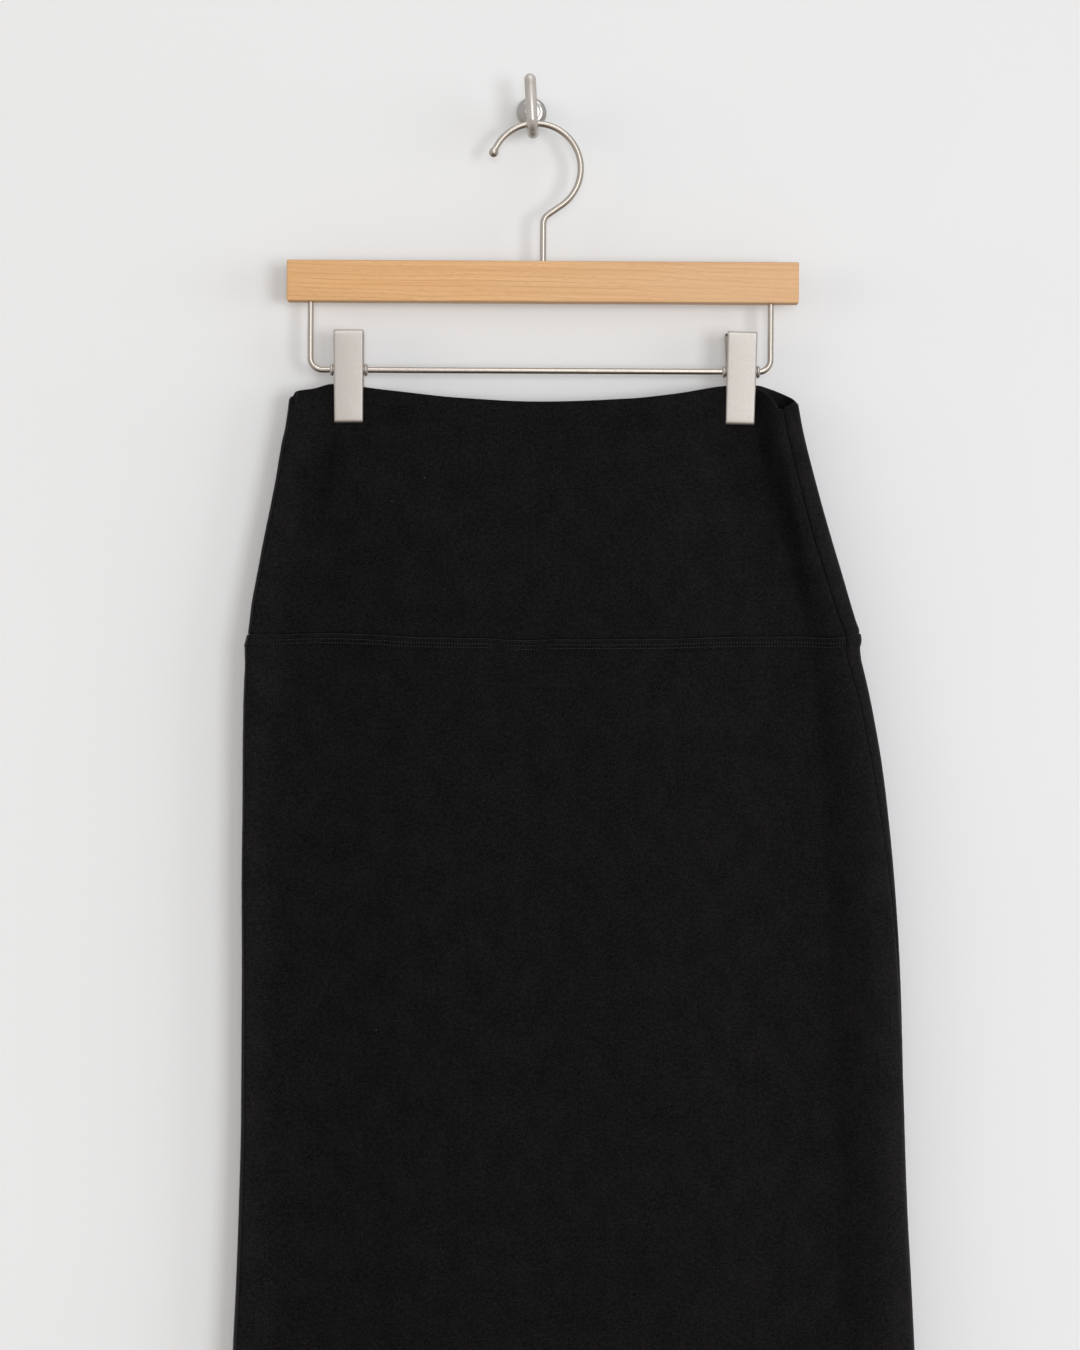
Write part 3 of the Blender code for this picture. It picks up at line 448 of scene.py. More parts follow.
def tube_rings(path, radii, sides, plane_normal):
    """Rings of a round rod whose path lies in one plane.

    At each point the ring is point + radius (cos a * plane normal + sin a * side), where
    side is the path's tangent crossed with the plane's normal.
    """
    path = np.asarray(path, dtype=float)
    tangent = unit(np.gradient(path, axis=0))
    normal = np.asarray(plane_normal, dtype=float)
    side = unit(np.cross(tangent, normal))
    turns = round_turns(sides)
    ring = (np.cos(turns)[None, :, None] * normal
            + np.sin(turns)[None, :, None] * side[:, None, :])
    return path[:, None, :] + np.asarray(radii, dtype=float)[:, None, None] * ring


def capped_tube(rings):
    """Points, quads and two end caps of a closed tube, its faces outwards."""
    rows, sides = rings.shape[:2]
    quads = wrapped_quads(rows, sides)
    first = np.arange(sides)
    last = np.arange((rows - 1) * sides, rows * sides)
    points = rings.reshape(-1, 3)
    if signed_volume(points, quads) < 0:
        return points, quads[:, ::-1], (first, last[::-1])
    return points, quads, (first[::-1], last)


def signed_volume(points, quads):
    """Volume enclosed by quads, positive where they face outwards.

    A sixth of the sum of the triple products of the corners, two for each quad.
    """
    middle = points.mean(axis=0)
    a, b, c, d = (points[quads[:, k]] - middle for k in range(4))
    first = np.einsum("ij,ij->i", a, np.cross(b, c)).sum()
    second = np.einsum("ij,ij->i", a, np.cross(c, d)).sum()
    return (first + second) / 6.0


def facing_out(points, quads):
    """Quads of a closed shell, turned over where the volume they enclose is negative."""
    return quads[:, ::-1] if signed_volume(points, quads) < 0 else quads


def closed_ring(grid):
    """Points and quads of a grid that closes on itself both ways, as a ring does."""
    turns, around = grid.shape[:2]
    points = grid.reshape(-1, 3)
    return points, facing_out(points, wrapped_quads(turns + 1, around) % (turns * around))


def turned_ring(profile, sides):
    """Closed ring turned about X: each (along, radius) goes to (along, r cos, r sin)."""
    profile = np.asarray(profile, dtype=float)
    turns = round_turns(sides)
    grid = np.empty((sides, len(profile), 3))
    grid[..., 0] = profile[None, :, 0]
    grid[..., 1] = profile[None, :, 1] * np.cos(turns)[:, None]
    grid[..., 2] = profile[None, :, 1] * np.sin(turns)[:, None]
    return closed_ring(grid)


def joined(parts):
    """Several (points, quads) as one pair, with the corner numbers run on."""
    starts = np.cumsum([0] + [len(points) for points, _ in parts[:-1]])
    return (np.concatenate([points for points, _ in parts]),
            np.concatenate([quads + start for (_, quads), start in zip(parts, starts)]))


def pillow(outer, inner):
    """Closed shell of two grids that share their border points, outer facing outwards."""
    rows, columns = outer.shape[:2]
    outer_index = np.arange(rows * columns).reshape(rows, columns)
    inner_index = outer_index.copy()
    inside = np.arange((rows - 2) * (columns - 2)).reshape(rows - 2, columns - 2)
    inner_index[1:-1, 1:-1] = rows * columns + inside
    points = np.concatenate((outer.reshape(-1, 3), inner[1:-1, 1:-1].reshape(-1, 3)))

    def quads_of(index):
        """Corner numbers of each cell of a grid of numbers, going round it."""
        return np.stack((index[:-1, :-1], index[:-1, 1:], index[1:, 1:], index[1:, :-1]),
                        axis=-1).reshape(-1, 4)

    quads = np.concatenate((quads_of(outer_index), quads_of(inner_index)[:, ::-1]))
    return points, facing_out(points, quads)


def edge_round(distance, width):
    """How far along its rounding a point lies: 1 at the very edge, 0 past the width."""
    return 1.0 - np.clip(distance / width, 0.0, 1.0)


def rounded_inset(shares, wall):
    """Depth of a rounded edge inside the outer face.

    A half ellipse: half the wall, times 1 - sqrt(1 - sum of the squared shares).
    """
    total = np.clip(sum(share ** 2 for share in shares), 0.0, 1.0)
    return 0.5 * wall * (1.0 - np.sqrt(1.0 - total))


# ================================================================ cloth
OUTLINE_TABLE = Table(OUTLINE_COLUMNS, OUTLINE)
TOP_TABLE = Table(TOP_EDGE_COLUMNS, TOP_EDGE)
SEAM_TABLE = Table(YOKE_SEAM_COLUMNS, YOKE_SEAM)
TROUGH_TABLES = (Table(TROUGH_COLUMNS, LEFT_TROUGH), Table(TROUGH_COLUMNS, RIGHT_TROUGH))


def creases(x, z, rows):
    """Sum of soft strokes: each a bell across its line, fading out past the line's ends."""
    total = np.zeros(np.broadcast(x, z).shape)
    for x0, z0, x1, z1, width, height in rows:
        run = np.array((x1 - x0, z1 - z0))
        length = np.hypot(*run)
        along = ((x - x0) * run[0] + (z - z0) * run[1]) / length
        across = ((x - x0) * run[1] - (z - z0) * run[0]) / length
        beyond = np.maximum(np.maximum(-along, along - length), 0.0)
        taper = 0.35 * min(length, 120.0) + width
        total = total + height * bump(across / width) * bump(beyond / taper)
    return total


def ripple(x, z, side):
    """Very low uneven waves in the cloth, from a few sines of unlike lengths."""
    swap = 1.0 if side > 0 else 1.7
    return (0.055 * np.sin(x / 21.0 + z / 83.0 + swap) * np.sin(z / 39.0 - x / 97.0 + 2.0 * swap)
            + 0.030 * np.sin(x / 9.7 - z / 55.0 + 0.6 * swap) * np.sin(z / 17.0 + swap)
            + 0.080 * np.sin(z / 118.0 + x / 160.0 + swap))


def half_depth(x, z, side):
    """Distance of the outer face from the mid-plane; side is 1 in front, -1 behind.

    The depth blends from the sides into the middle, each clip's trough presses it in by
    press * bell(past the flat strip / reach), and the creases and ripples are added.
    """
    left = OUTLINE_TABLE.read("left", z)
    right = OUTLINE_TABLE.read("right", z)
    middle = OUTLINE_TABLE.read("deep_m", z)
    near_left = 1.0 - smoothstep((x - left) / DEPTH_BLEND)
    near_right = 1.0 - smoothstep((right - x) / DEPTH_BLEND)
    depth = (middle + near_left * (OUTLINE_TABLE.read("deep_l", z) - middle)
             + near_right * (OUTLINE_TABLE.read("deep_r", z) - middle))
    held = np.zeros_like(depth)
    for table in TROUGH_TABLES:
        away = x - table.read("x", z)
        reach = np.where(away < 0, table.read("reach_l", z), table.read("reach_r", z))
        past = np.maximum(np.abs(away) - table.read("flat", z), 0.0)
        press = table.read("front" if side > 0 else "back", z)
        pull = press * bump(past / reach)
        held = np.maximum(held, pull * smoothstep((z - CALM_FROM) / CALM_FADE))
        depth = depth - pull * (depth - PRESSED)
    depth = depth + RIDGE_HEIGHT * bump((x - left - RIDGE_INSET) / RIDGE_WIDTH)
    soft = creases(x, z, FRONT_CREASES if side > 0 else BACK_CREASES) + ripple(x, z, side)
    return depth + (1.0 - held) * soft


def seam_turn(side, z):
    """Angle on the rolled edge at which the side seam lies; 0 is the very edge."""
    inset = OUTLINE_TABLE.read("seam_" + side, z)
    roll = OUTLINE_TABLE.read("roll_" + side, z)
    return np.sign(inset) * np.arccos(1.0 - np.abs(inset) / roll)


class Panel:
    """One cut piece of the skirt as a grid, from its left seam to its right one.

    Across, a column lies on the rolled left edge, on the flat or on the rolled right edge.
    A rolled edge is half an ellipse: x = edge +- wall +- (roll - wall)(1 - cos turn), and
    forward = (half depth - wall) sin turn. The back panel also wraps the right edge and
    reaches its seam in front.
    """

    def __init__(self, side):
        self.side = side

    def turns(self, hand, z):
        """Turns of the columns on a rolled edge, from its seam to the flat, per row."""
        turn = seam_turn(hand, z)
        roll = OUTLINE_TABLE.read("roll_" + hand, z)
        deep = OUTLINE_TABLE.read("deep_" + hand, z)
        speed = np.hypot(roll * np.sin(turn), deep * np.cos(turn))
        steps = (np.array(SIDE_COLUMNS) + 0.5 * SEAM_SLIT)[None, :] / speed[:, None]
        wraps = self.side < 0 and hand == "r"
        count = 2 * ROLL_COLUMNS if wraps else ROLL_COLUMNS
        shares = np.linspace(0.0, 1.0, count + 1)[1:]
        first = turn[:, None] + self.side * steps
        rest = first[:, -1:] + shares * (self.side * QUARTER - first[:, -1:])
        return np.concatenate((first, rest), axis=1)

    def columns(self, z_left, z_right):
        """Kind of each column (-1 left roll, 0 flat, 1 right roll) and its turn or share.

        The heights of the panel's left and right ends, row by row, place its seams.
        """
        left = self.turns("l", z_left)
        right = self.turns("r", z_right)[:, ::-1]
        flat = np.linspace(0.0, 1.0, FLAT_COLUMNS + 1)[1:-1]
        flat = np.repeat(flat[None, :], len(z_left), axis=0)
        kind = np.concatenate((np.full(left.shape[1], -1), np.zeros(flat.shape[1], int),
                               np.full(right.shape[1], 1)))
        return kind, np.concatenate((left, flat, right), axis=1)

    def place(self, kind, value, z, wall):
        """x and forward distance of points of the columns at heights z, wall inside."""
        left = OUTLINE_TABLE.read("left", z)
        right = OUTLINE_TABLE.read("right", z)
        roll_l = OUTLINE_TABLE.read("roll_l", z)
        roll_r = OUTLINE_TABLE.read("roll_r", z)
        bend = 1.0 - np.cos(value)
        wall = np.broadcast_to(wall, z.shape)
        on_left = kind < 0
        on_right = kind > 0
        flat_x = (left + roll_l) * (1.0 - value) + (right - roll_r) * value
        outer_x = np.where(on_left, left + roll_l * bend,
                           np.where(on_right, right - roll_r * bend, flat_x))
        x = np.where(on_left, left + wall + (roll_l - wall) * bend,
                     np.where(on_right, right - wall - (roll_r - wall) * bend, flat_x))
        front = half_depth(outer_x, z, 1)
        back = half_depth(outer_x, z, -1)
        rolled = on_left | on_right
        in_front = self.share_in_front(kind, value)
        depth = back + in_front * (front - back)
        lift = np.where(rolled, np.sin(value), float(self.side))
        return outer_x, x, (depth - wall) * lift

    def share_in_front(self, kind, value):
        """1 in front, 0 behind, and a smooth change round the very edge."""
        rolled = smoothstep(0.5 + 0.5 * np.sin(value) / 0.35)
        return np.where(kind == 0, float(self.side > 0), rolled)

    def settle(self, shares, upper, lower):
        """Heights and columns that agree with each other, found in a few rounds."""
        start = upper(np.zeros(1), 1)
        middle = start + shares * (lower(np.zeros(1), 1) - start)
        z_left = z_right = middle
        z = middle[:, None]
        for _ in range(SETTLING_ROUNDS):
            kind, value = self.columns(z_left, z_right)
            z = np.broadcast_to(z, value.shape)
            outer_x, _, _ = self.place(kind, value, z, 0.0)
            in_front = self.share_in_front(kind, value)
            top = upper(outer_x, -1) + in_front * (upper(outer_x, 1) - upper(outer_x, -1))
            low = lower(outer_x, -1) + in_front * (lower(outer_x, 1) - lower(outer_x, -1))
            z = top + shares[:, None] * (low - top)
            z_left, z_right = z[:, 0], z[:, -1]
        return kind, value, z, top - z, z - low


def top_edge(x, side):
    """Height of the waistband's fold, in front (side 1) or behind (side -1)."""
    return TOP_TABLE.read("front" if side > 0 else "back", x)


def seam_line(x, side):
    """Height of the waistband seam, the same in front and behind."""
    return SEAM_TABLE.read("z", x)


def hem_line(x, side):
    """Height of the hem, level all round."""
    return np.full_like(np.asarray(x, dtype=float), HEM_HEIGHT)


def surface_normals(grid):
    """Unit normals of a grid from its differences down and across."""
    down = np.gradient(grid, axis=0)
    across = np.gradient(grid, axis=1)
    return unit(np.cross(across, down))


def across_length(grid):
    """Arc length along each row of a grid, measured from its middle column."""
    steps = np.linalg.norm(np.diff(grid, axis=1), axis=-1)
    along = np.concatenate((np.zeros((len(grid), 1)), np.cumsum(steps, axis=1)), axis=1)
    return along - along[:, along.shape[1] // 2:along.shape[1] // 2 + 1]


def row_shares(distances_top, distances_low, middle_count, length):
    """Row shares: close rows at both ends and even ones between, for a panel length."""
    first = np.asarray(distances_top) / length
    last = 1.0 - np.asarray(distances_low)[::-1] / length
    between = np.linspace(first[-1], last[0], middle_count + 2)[1:-1]
    return np.concatenate((first, between, last))


def needle_grooves(distance, rows, width, depth):
    """Shallow furrows along rows of stitches, each a bell across its row."""
    return -depth * sum(bump((distance - row) / width) for row in rows)


def sunk(x, side):
    """Where the topstitching sinks into the cloth: a sum of bells, 0 plain, 1 fully sunk."""
    places = SUNK_FRONT if side > 0 else SUNK_BACK
    return np.clip(sum(bump((x - place) / width) for place, width in places), 0.0, 1.0)


def skirt_relief(x, side, from_top, from_low):
    """Low band of the turned allowance, needle grooves, and the step at the hem's stitching.

    The band and its grooves are fainter where the stitches sink in.
    """
    plain = 1.0 - sunk(x, side)
    band = 0.50 * smoothstep((ALLOWANCE - from_top) / 1.6)
    return (band * (0.6 + 0.4 * plain)
            + needle_grooves(from_top, NEEDLE_ROWS, 0.80, 0.13) * (0.25 + 0.75 * plain)
            + needle_grooves(from_low, HEM_NEEDLE_ROWS, 0.85, 0.36)
            + 0.10 * bump((from_low - 25.4) / 1.2)
            - 0.12 * bump((from_top - 10.6) / 1.8))


def waistband_relief(along, from_top, from_low):
    """Furrow and soft swell over the seam, and a very fine ripple along the fold."""
    ripples = 0.05 * np.sin(along * FULL_TURN / 1.55)
    return (-0.35 * bump(from_low / 1.5) + 0.15 * bump((from_low - 3.4) / 2.2)
            + ripples * bump((from_top - 0.6) / 0.7))


# part: upper and lower edge, length, close rows at both, rows between, wall, edge roundings
PARTS = {
    "yoke": (top_edge, seam_line, 165.0, YOKE_TOP_ROWS, YOKE_LOW_ROWS, 60,
             YOKE_WALL, (1.15, WAIST_SEAM_EDGE[0])),
    "skirt": (seam_line, hem_line, 655.0, SKIRT_TOP_ROWS, SKIRT_LOW_ROWS, 104,
              SKIRT_WALL, (WAIST_SEAM_EDGE[1], 1.25)),
}
NO_EDGE_NEAR = 1000.0               # stands for a distance to an edge that a piece hasn't


def build_panel(name, side, part, material):
    """Closed shell of one cut piece, its rounded edges, relief and flat-cloth map.

    The faces are the form at depths inset and wall - inset, where inset rounds the edges.
    Both move along the form's normal by the relief, which fades out at the very edges.
    """
    upper, lower, length, top_rows, low_rows, rows_between, sheet, edges = PARTS[part]
    panel = Panel(side)
    shares = row_shares(top_rows, low_rows, rows_between, length)
    kind, value, z, from_top, from_low = panel.settle(shares, upper, lower)
    wall = np.full(z.shape, sheet)
    if part == "skirt":
        wall = wall + (HEM_WALL - SKIRT_WALL) * smoothstep((HEM_DEPTH + 0.4 - from_low) / 0.8)

    def points_at(depth_in):
        """Points of the form at a depth inside its outer face."""
        _, x, forward = panel.place(kind, value, z, depth_in)
        return np.stack((x, HANG_Y - forward, z), axis=-1)

    face = points_at(0.0)
    along = across_length(face)
    from_left = along - along[:, :1]
    from_right = along[:, -1:] - along
    rounds = (edge_round(from_top, edges[0]), edge_round(from_low, edges[1]),
              edge_round(from_left, SEAM_EDGE), edge_round(from_right, SEAM_EDGE))
    inset = rounded_inset(rounds, wall)
    if part == "skirt":
        relief = skirt_relief(face[..., 0], side, from_top, from_low)
    else:
        relief = waistband_relief(along, from_top, from_low)
    pucker = 0.06 * np.sin(z * FULL_TURN / 13.0) * np.sin(z / 7.3)
    relief += pucker * (bump(from_left / 5.0) + bump(from_right / 5.0))
    relief -= 0.34 * (bump(from_left / 1.5) + bump(from_right / 1.5))
    normal = surface_normals(face)
    normal = normal * np.sign(np.sum(normal[:, kind == 0, 1]) * -side)
    fade = 1.0 - np.clip(sum(share ** 2 for share in rounds), 0.0, 1.0)
    outer = points_at(inset) + normal * (relief * (0.25 + 0.75 * fade))[..., None]
    inner = points_at(wall - inset) + normal * (relief * 0.25 * fade)[..., None]
    border = np.zeros(z.shape, dtype=bool)
    border[[0, -1], :] = True
    border[:, [0, -1]] = True
    inner[border] = outer[border]
    points, quads = pillow(outer, inner)
    if part == "skirt":
        below_seam, above_hem = from_top, from_low
    else:
        below_seam, above_hem = -from_low, np.full_like(z, NO_EDGE_NEAR)

    def on_both_faces(first, second):
        """Pairs of values at the outer grid's points and again at the inner ones."""
        pair = np.stack((first, second), axis=-1)
        return np.concatenate((pair.reshape(-1, 2), pair[1:-1, 1:-1].reshape(-1, 2)))

    piece = make_piece(name, points, quads, material,
                       maps=(("flat_cloth", on_both_faces(along, z)),
                             ("from_seams", on_both_faces(below_seam, above_hem)),
                             ("from_sides", on_both_faces(from_left, from_right))))
    return piece, outer, normal, from_top, from_low, along


# ================================================================ sewing thread
def stitch_rows(name, lines, material):
    """Rows of short stitches along lines on the cloth.

    One stitch is a small closed capsule: its height over the cloth is an arch that dips
    in at both ends, and its section is round. It is copied along each line, half a pitch
    past each needle hole.
    """
    lengthwise = np.linspace(-1.0, 1.0, 7)
    turns = round_turns(6)
    radius = THREAD_RADIUS * np.sqrt(np.clip(1.0 - 0.92 * lengthwise ** 4, 0.0, 1.0))
    arch = THREAD_RADIUS * (1.0 - lengthwise ** 2) - 0.14
    shape = np.empty((len(lengthwise), len(turns), 3))
    shape[..., 0] = 0.5 * STITCH_LENGTH * lengthwise[:, None]
    shape[..., 1] = radius[:, None] * np.cos(turns)
    shape[..., 2] = radius[:, None] * np.sin(turns) + arch[:, None]
    size = len(lengthwise) * len(turns)
    cap = np.array(((0, 1, 2, 3), (0, 3, 4, 5)))
    stitch = np.concatenate((wrapped_quads(len(lengthwise), len(turns)), cap[:, ::-1],
                             cap + size - len(turns)))
    rows = []
    for line, normal, lift, along in lines:
        first, last = np.ceil(along[0] / STITCH_PITCH), np.floor(along[-1] / STITCH_PITCH)
        places = (np.arange(first, last) + 0.5) * STITCH_PITCH

        def at_stitches(values):
            """Values given along the line, read off at the middle of each stitch."""
            return np.stack([np.interp(places, along, values[:, k]) for k in range(3)], axis=-1)

        tangent = unit(at_stitches(np.gradient(line, along, axis=0)))
        out = unit(at_stitches(normal))
        side = np.cross(out, tangent)
        centre = at_stitches(line) + out * np.interp(places, along, lift)[:, None]
        rows.append((centre[:, None, None, :]
                     + tangent[:, None, None, :] * shape[None, ..., 0:1]
                     + side[:, None, None, :] * shape[None, ..., 1:2]
                     + out[:, None, None, :] * shape[None, ..., 2:3]).reshape(-1, 3))
    points = np.concatenate(rows)
    starts = np.arange(0, len(points), size)
    quads = facing_out(points[:size], stitch)[None] + starts[:, None, None]
    return make_piece(name, points, quads.reshape(-1, 4), material)


def stitch_line(outer, normal, along, distances, wanted, side):
    """Grid row nearest a wanted distance from an edge: points, normals, lift, length."""
    row = int(np.argmin(np.abs(distances[:, distances.shape[1] // 2] - wanted)))
    keep = slice(3, -3)
    line = outer[row, keep]
    lift = STITCH_LIFT - STITCH_SINK * sunk(line[:, 0], side)
    return line, normal[row, keep], lift, along[row, keep]


# ================================================================ metal
def wall_hook_path():
    """Centre line of the wall hook in its own plane: neck, valley and leaning front leg."""
    valley_z = CROWN[2] - WIRE_RADIUS - HOOK_CLEARANCE - WALL_HOOK_RADIUS
    valley = (HANG_Y, valley_z + WALL_HOOK_VALLEY)
    back_leg = HANG_Y + WALL_HOOK_VALLEY
    neck = (back_leg + WALL_HOOK_NECK_BEND, -WALL_HOOK_NECK_BEND)
    lean_radius = WALL_HOOK_TIP_RISE / math.sin(WALL_HOOK_TIP_LEAN)
    leg = (HANG_Y - WALL_HOOK_VALLEY - lean_radius, valley[1])
    start = np.linspace((-1.0, 0.0), (neck[0], 0.0), 12)[:-1]
    return np.concatenate((
        start,
        arc(neck, WALL_HOOK_NECK_BEND, QUARTER, HALF_TURN, 22),
        arc(valley, WALL_HOOK_VALLEY, 0.0, -HALF_TURN, 56)[1:],
        arc(leg, lean_radius, 0.0, WALL_HOOK_TIP_LEAN, 34)[1:],
    ))


def domed_end(path, radius, count, tail):
    """A path and radii run on into a half-round end; tail is the last dome's small radius.

    Past the end, a point at share s of the radius has radius * sqrt(1 - s * s).
    """
    way = unit(path[-1] - path[-2])
    shares = np.sin(np.linspace(0.0, QUARTER, count + 1))[1:]
    shares[-1] = math.sqrt(1.0 - tail * tail)
    more = path[-1] + way * (shares * radius)[:, None]
    radii = np.concatenate((np.full(len(path), radius), radius * np.sqrt(1.0 - shares ** 2)))
    return np.concatenate((path, more)), radii


def build_wall_hook(material):
    """Round rod hook, turned slightly askew on the wall."""
    path, radii = domed_end(wall_hook_path(), WALL_HOOK_RADIUS, 10, 0.05)
    path = np.insert(path, 0, 0.0, axis=1)
    points, quads, caps = capped_tube(tube_rings(path, radii, 40, (1.0, 0.0, 0.0)))
    hook = make_piece("wall_hook_rod", turn_about_y(points, -WALL_HOOK_TURN), quads, material,
                      caps, smooth=50)
    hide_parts("wall_hook")


# The rosette's back with its rim, and its flat face: shares of its radius and depth.
ROSETTE_BACK = ((0.02, 0.0), (0.6, 0.0), (0.985, 0.0), (1.0, 0.02), (1.0, 0.20))
ROSETTE_FACE = ((0.585, 0.955), (0.560, 0.985), (0.52, 1.0), (0.40, 1.0), (0.25, 1.0),
                (0.10, 1.0), (0.02, 1.0))


def build_rosette(material):
    """Domed round base, turned as the hook is.

    Over a quarter turn a the dome's radius is 0.6 + 0.4 cos(a)^0.85 and its depth
    0.28 + 0.66 sin(a), as shares.
    """
    dome_turns = np.linspace(0.0, 1.0, 15) * QUARTER
    dome = np.stack((0.60 + 0.40 * np.cos(dome_turns) ** 0.85,
                     0.28 + 0.66 * np.sin(dome_turns)), axis=-1)
    shares = np.concatenate((ROSETTE_BACK, dome, ROSETTE_FACE))
    radius, depth = ROSETTE_RADIUS * shares[:, :1], ROSETTE_DEPTH * shares[:, 1:]
    turns = round_turns(72)
    rings = np.stack((radius * np.cos(turns), np.repeat(-depth, len(turns), axis=1),
                      radius * np.sin(turns)), axis=-1)
    points, quads, caps = capped_tube(rings)
    rosette = make_piece("wall_hook_rosette", turn_about_y(points, -WALL_HOOK_TURN), quads,
                         material, caps, smooth=40)
    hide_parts("wall_rosette")


def build_wire_hook(material):
    """Hanger's wire hook: ball end, arc over the crown, slanting run, bend and stem.

    The ball's radius at share s of its reach is its radius times sqrt(1 - s * s).
    """
    centre = (0.0, -WIRE_ARC_RADIUS)
    ball_turn = WIRE_BALL_RADIUS / WIRE_ARC_RADIUS
    shares = -np.cos(np.linspace(0.09, QUARTER + 0.62, 16))
    ball = on_circle(centre, WIRE_ARC_RADIUS, WIRE_ARC_START - shares * ball_turn)
    ball_radii = WIRE_BALL_RADIUS * np.sqrt(1.0 - shares ** 2)
    neck = (shares[-1] + 0.28) * ball_turn
    sweep = arc(centre, WIRE_ARC_RADIUS, WIRE_ARC_START - neck, WIRE_ARC_END, 96)
    heading = WIRE_ARC_END - QUARTER
    bend_dx = WIRE_STEM_BEND * (math.sin(-QUARTER) - math.sin(heading))
    bend_dz = WIRE_STEM_BEND * (math.cos(heading) - math.cos(-QUARTER))
    run = (STEM_X - bend_dx - sweep[-1][0]) / math.cos(heading)
    bend_start = sweep[-1] + run * np.array((math.cos(heading), math.sin(heading)))
    bend_centre = (STEM_X + WIRE_STEM_BEND, bend_start[1] + bend_dz)
    slope = np.linspace(sweep[-1], bend_start, 14)[1:-1]
    bend = arc(bend_centre, WIRE_STEM_BEND, heading - QUARTER, -HALF_TURN, 18)
    stem = np.linspace(bend[-1], (STEM_X, BAR_TOP - BORE_DEPTH), 30)[1:]
    wire = np.concatenate((sweep, slope, bend, stem))
    radii = np.concatenate((ball_radii, np.full(len(wire), WIRE_RADIUS)))
    radii[len(ball)] = WIRE_RADIUS * 1.06       # small fillet behind the ball
    path = in_hanger_plane(np.concatenate((ball, wire)))
    points, quads, caps = capped_tube(tube_rings(path, radii, 28, (0.0, 1.0, 0.0)))
    wire_hook = make_piece("hanger_wire_hook", on_hanger(points), quads, material,
                           caps, smooth=60)
    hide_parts("hanger_hook")


def build_rail(material):
    """U-shaped rod: down from the bar, across under it and up again."""
    left = RAIL_CENTRE_X - RAIL_HALF_SPAN
    right = RAIL_CENTRE_X + RAIL_HALF_SPAN
    high = BAR_TOP - BAR_HEIGHT + BORE_DEPTH
    low, bend = RAIL_HEIGHT, RAIL_BEND
    down = np.linspace((left, high), (left, low + bend), 20)
    across = np.linspace((left + bend, low), (right - bend, low), 90)[1:-1]
    up = np.linspace((right, low + bend), (right, high), 20)
    path = in_hanger_plane(np.concatenate((
        down, arc((left + bend, low + bend), bend, HALF_TURN, 1.5 * HALF_TURN, 20)[1:],
        across, arc((right - bend, low + bend), bend, -QUARTER, 0.0, 20)[:-1], up)))
    rings = tube_rings(path, np.full(len(path), RAIL_RADIUS), 28, (0.0, 1.0, 0.0))
    points, quads, caps = capped_tube(rings)
    rail = make_piece("clip_rail_rod", on_hanger(points), quads, material,
                      caps, smooth=60)
    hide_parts("clip_rail")


# ---------------------------------------------------------------- clips
JAW_SHEET = 1.0
JAW_CORNER = 1.15           # bend between face and flanges
JAW_EDGE = (0.42, 0.40)     # rounding of a jaw's ends and of its flanges' edges
JAW_BOW = 0.16              # how far a jaw's face bows out in its middle
EAR_HOLE = 3.55             # radius of an ear's hole
EAR_TO_PLATE = 5.9          # from the rod's middle to where an ear meets the plate

# The eyelet's flare at one end, rolled over from its outside to its bore: place along the
# rod, radius.
EYELET_FLARE = ((10.9, 3.1), (11.0, 3.7), (11.15, 4.05), (11.5, 4.3), (12.0, 4.3), (12.45, 4.15),
                (12.8, 3.8), (13.0, 3.4), (13.2, 3.15), (13.2, 2.75), (13.0, 2.6))
BARREL_PLACES = (-6.0, 0.0, 6.0)    # along the plain barrel between the flares
BARREL_OUTER = 3.1
BARREL_INNER = 2.6

SPRING_COIL = 4.2           # radius of the coil, along its wire's centre
SPRING_WIRE = 0.5           # radius of the wire
SPRING_HALF_LENGTH = 3.2
SPRING_LEG = (5.0, 14.0)    # its end: how far behind or in front, and up
SPRING_HALF_TURNS = 9.0

# Height along the jaw, distance of its face, depth of its flanges and half width.
JAW_COLUMNS = ("height", "face", "flange", "half")
JAW_MOUTH = (
    (-37.4, 3.90, 1.30, 9.75),
    (-37.0, 4.45, 1.65, 9.95),
    (-36.2, 5.05, 2.05, 10.1),
    (-35.0, 5.30, 2.25, 10.15),
    (-20.0, 5.78, 2.40, 10.25),
)
FRONT_JAW = JAW_MOUTH + (
    (0.0, 6.45, 2.40, 10.3),
    (12.0, 6.85, 2.40, 10.35),
    (24.4, 7.22, 2.40, 10.4),
    (25.4, 7.10, 2.40, 10.4),
    (26.6, 6.62, 2.30, 10.38),
    (27.4, 5.95, 2.00, 10.3),
    (27.75, 5.10, 1.40, 10.1),
)
BACK_JAW = JAW_MOUTH + (
    (-9.0, 6.10, 3.20, 10.3),
    (-4.5, 6.25, 5.60, 10.35),
    (4.5, 6.55, 5.80, 10.4),
    (9.0, 6.70, 4.60, 10.4),
    (24.8, 7.25, 3.60, 10.4),
    (25.9, 7.18, 3.20, 10.4),
    (26.9, 6.65, 2.60, 10.3),
    (27.5, 5.90, 2.00, 10.1),
    (27.75, 5.10, 1.40, 9.8),
)
# name, rows, side, place of its ears along the rod, reach of the ears
JAWS = (
    ("front", FRONT_JAW, 1, 8.4, 5.0),
    ("back", BACK_JAW, -1, 9.9, 4.1),
)


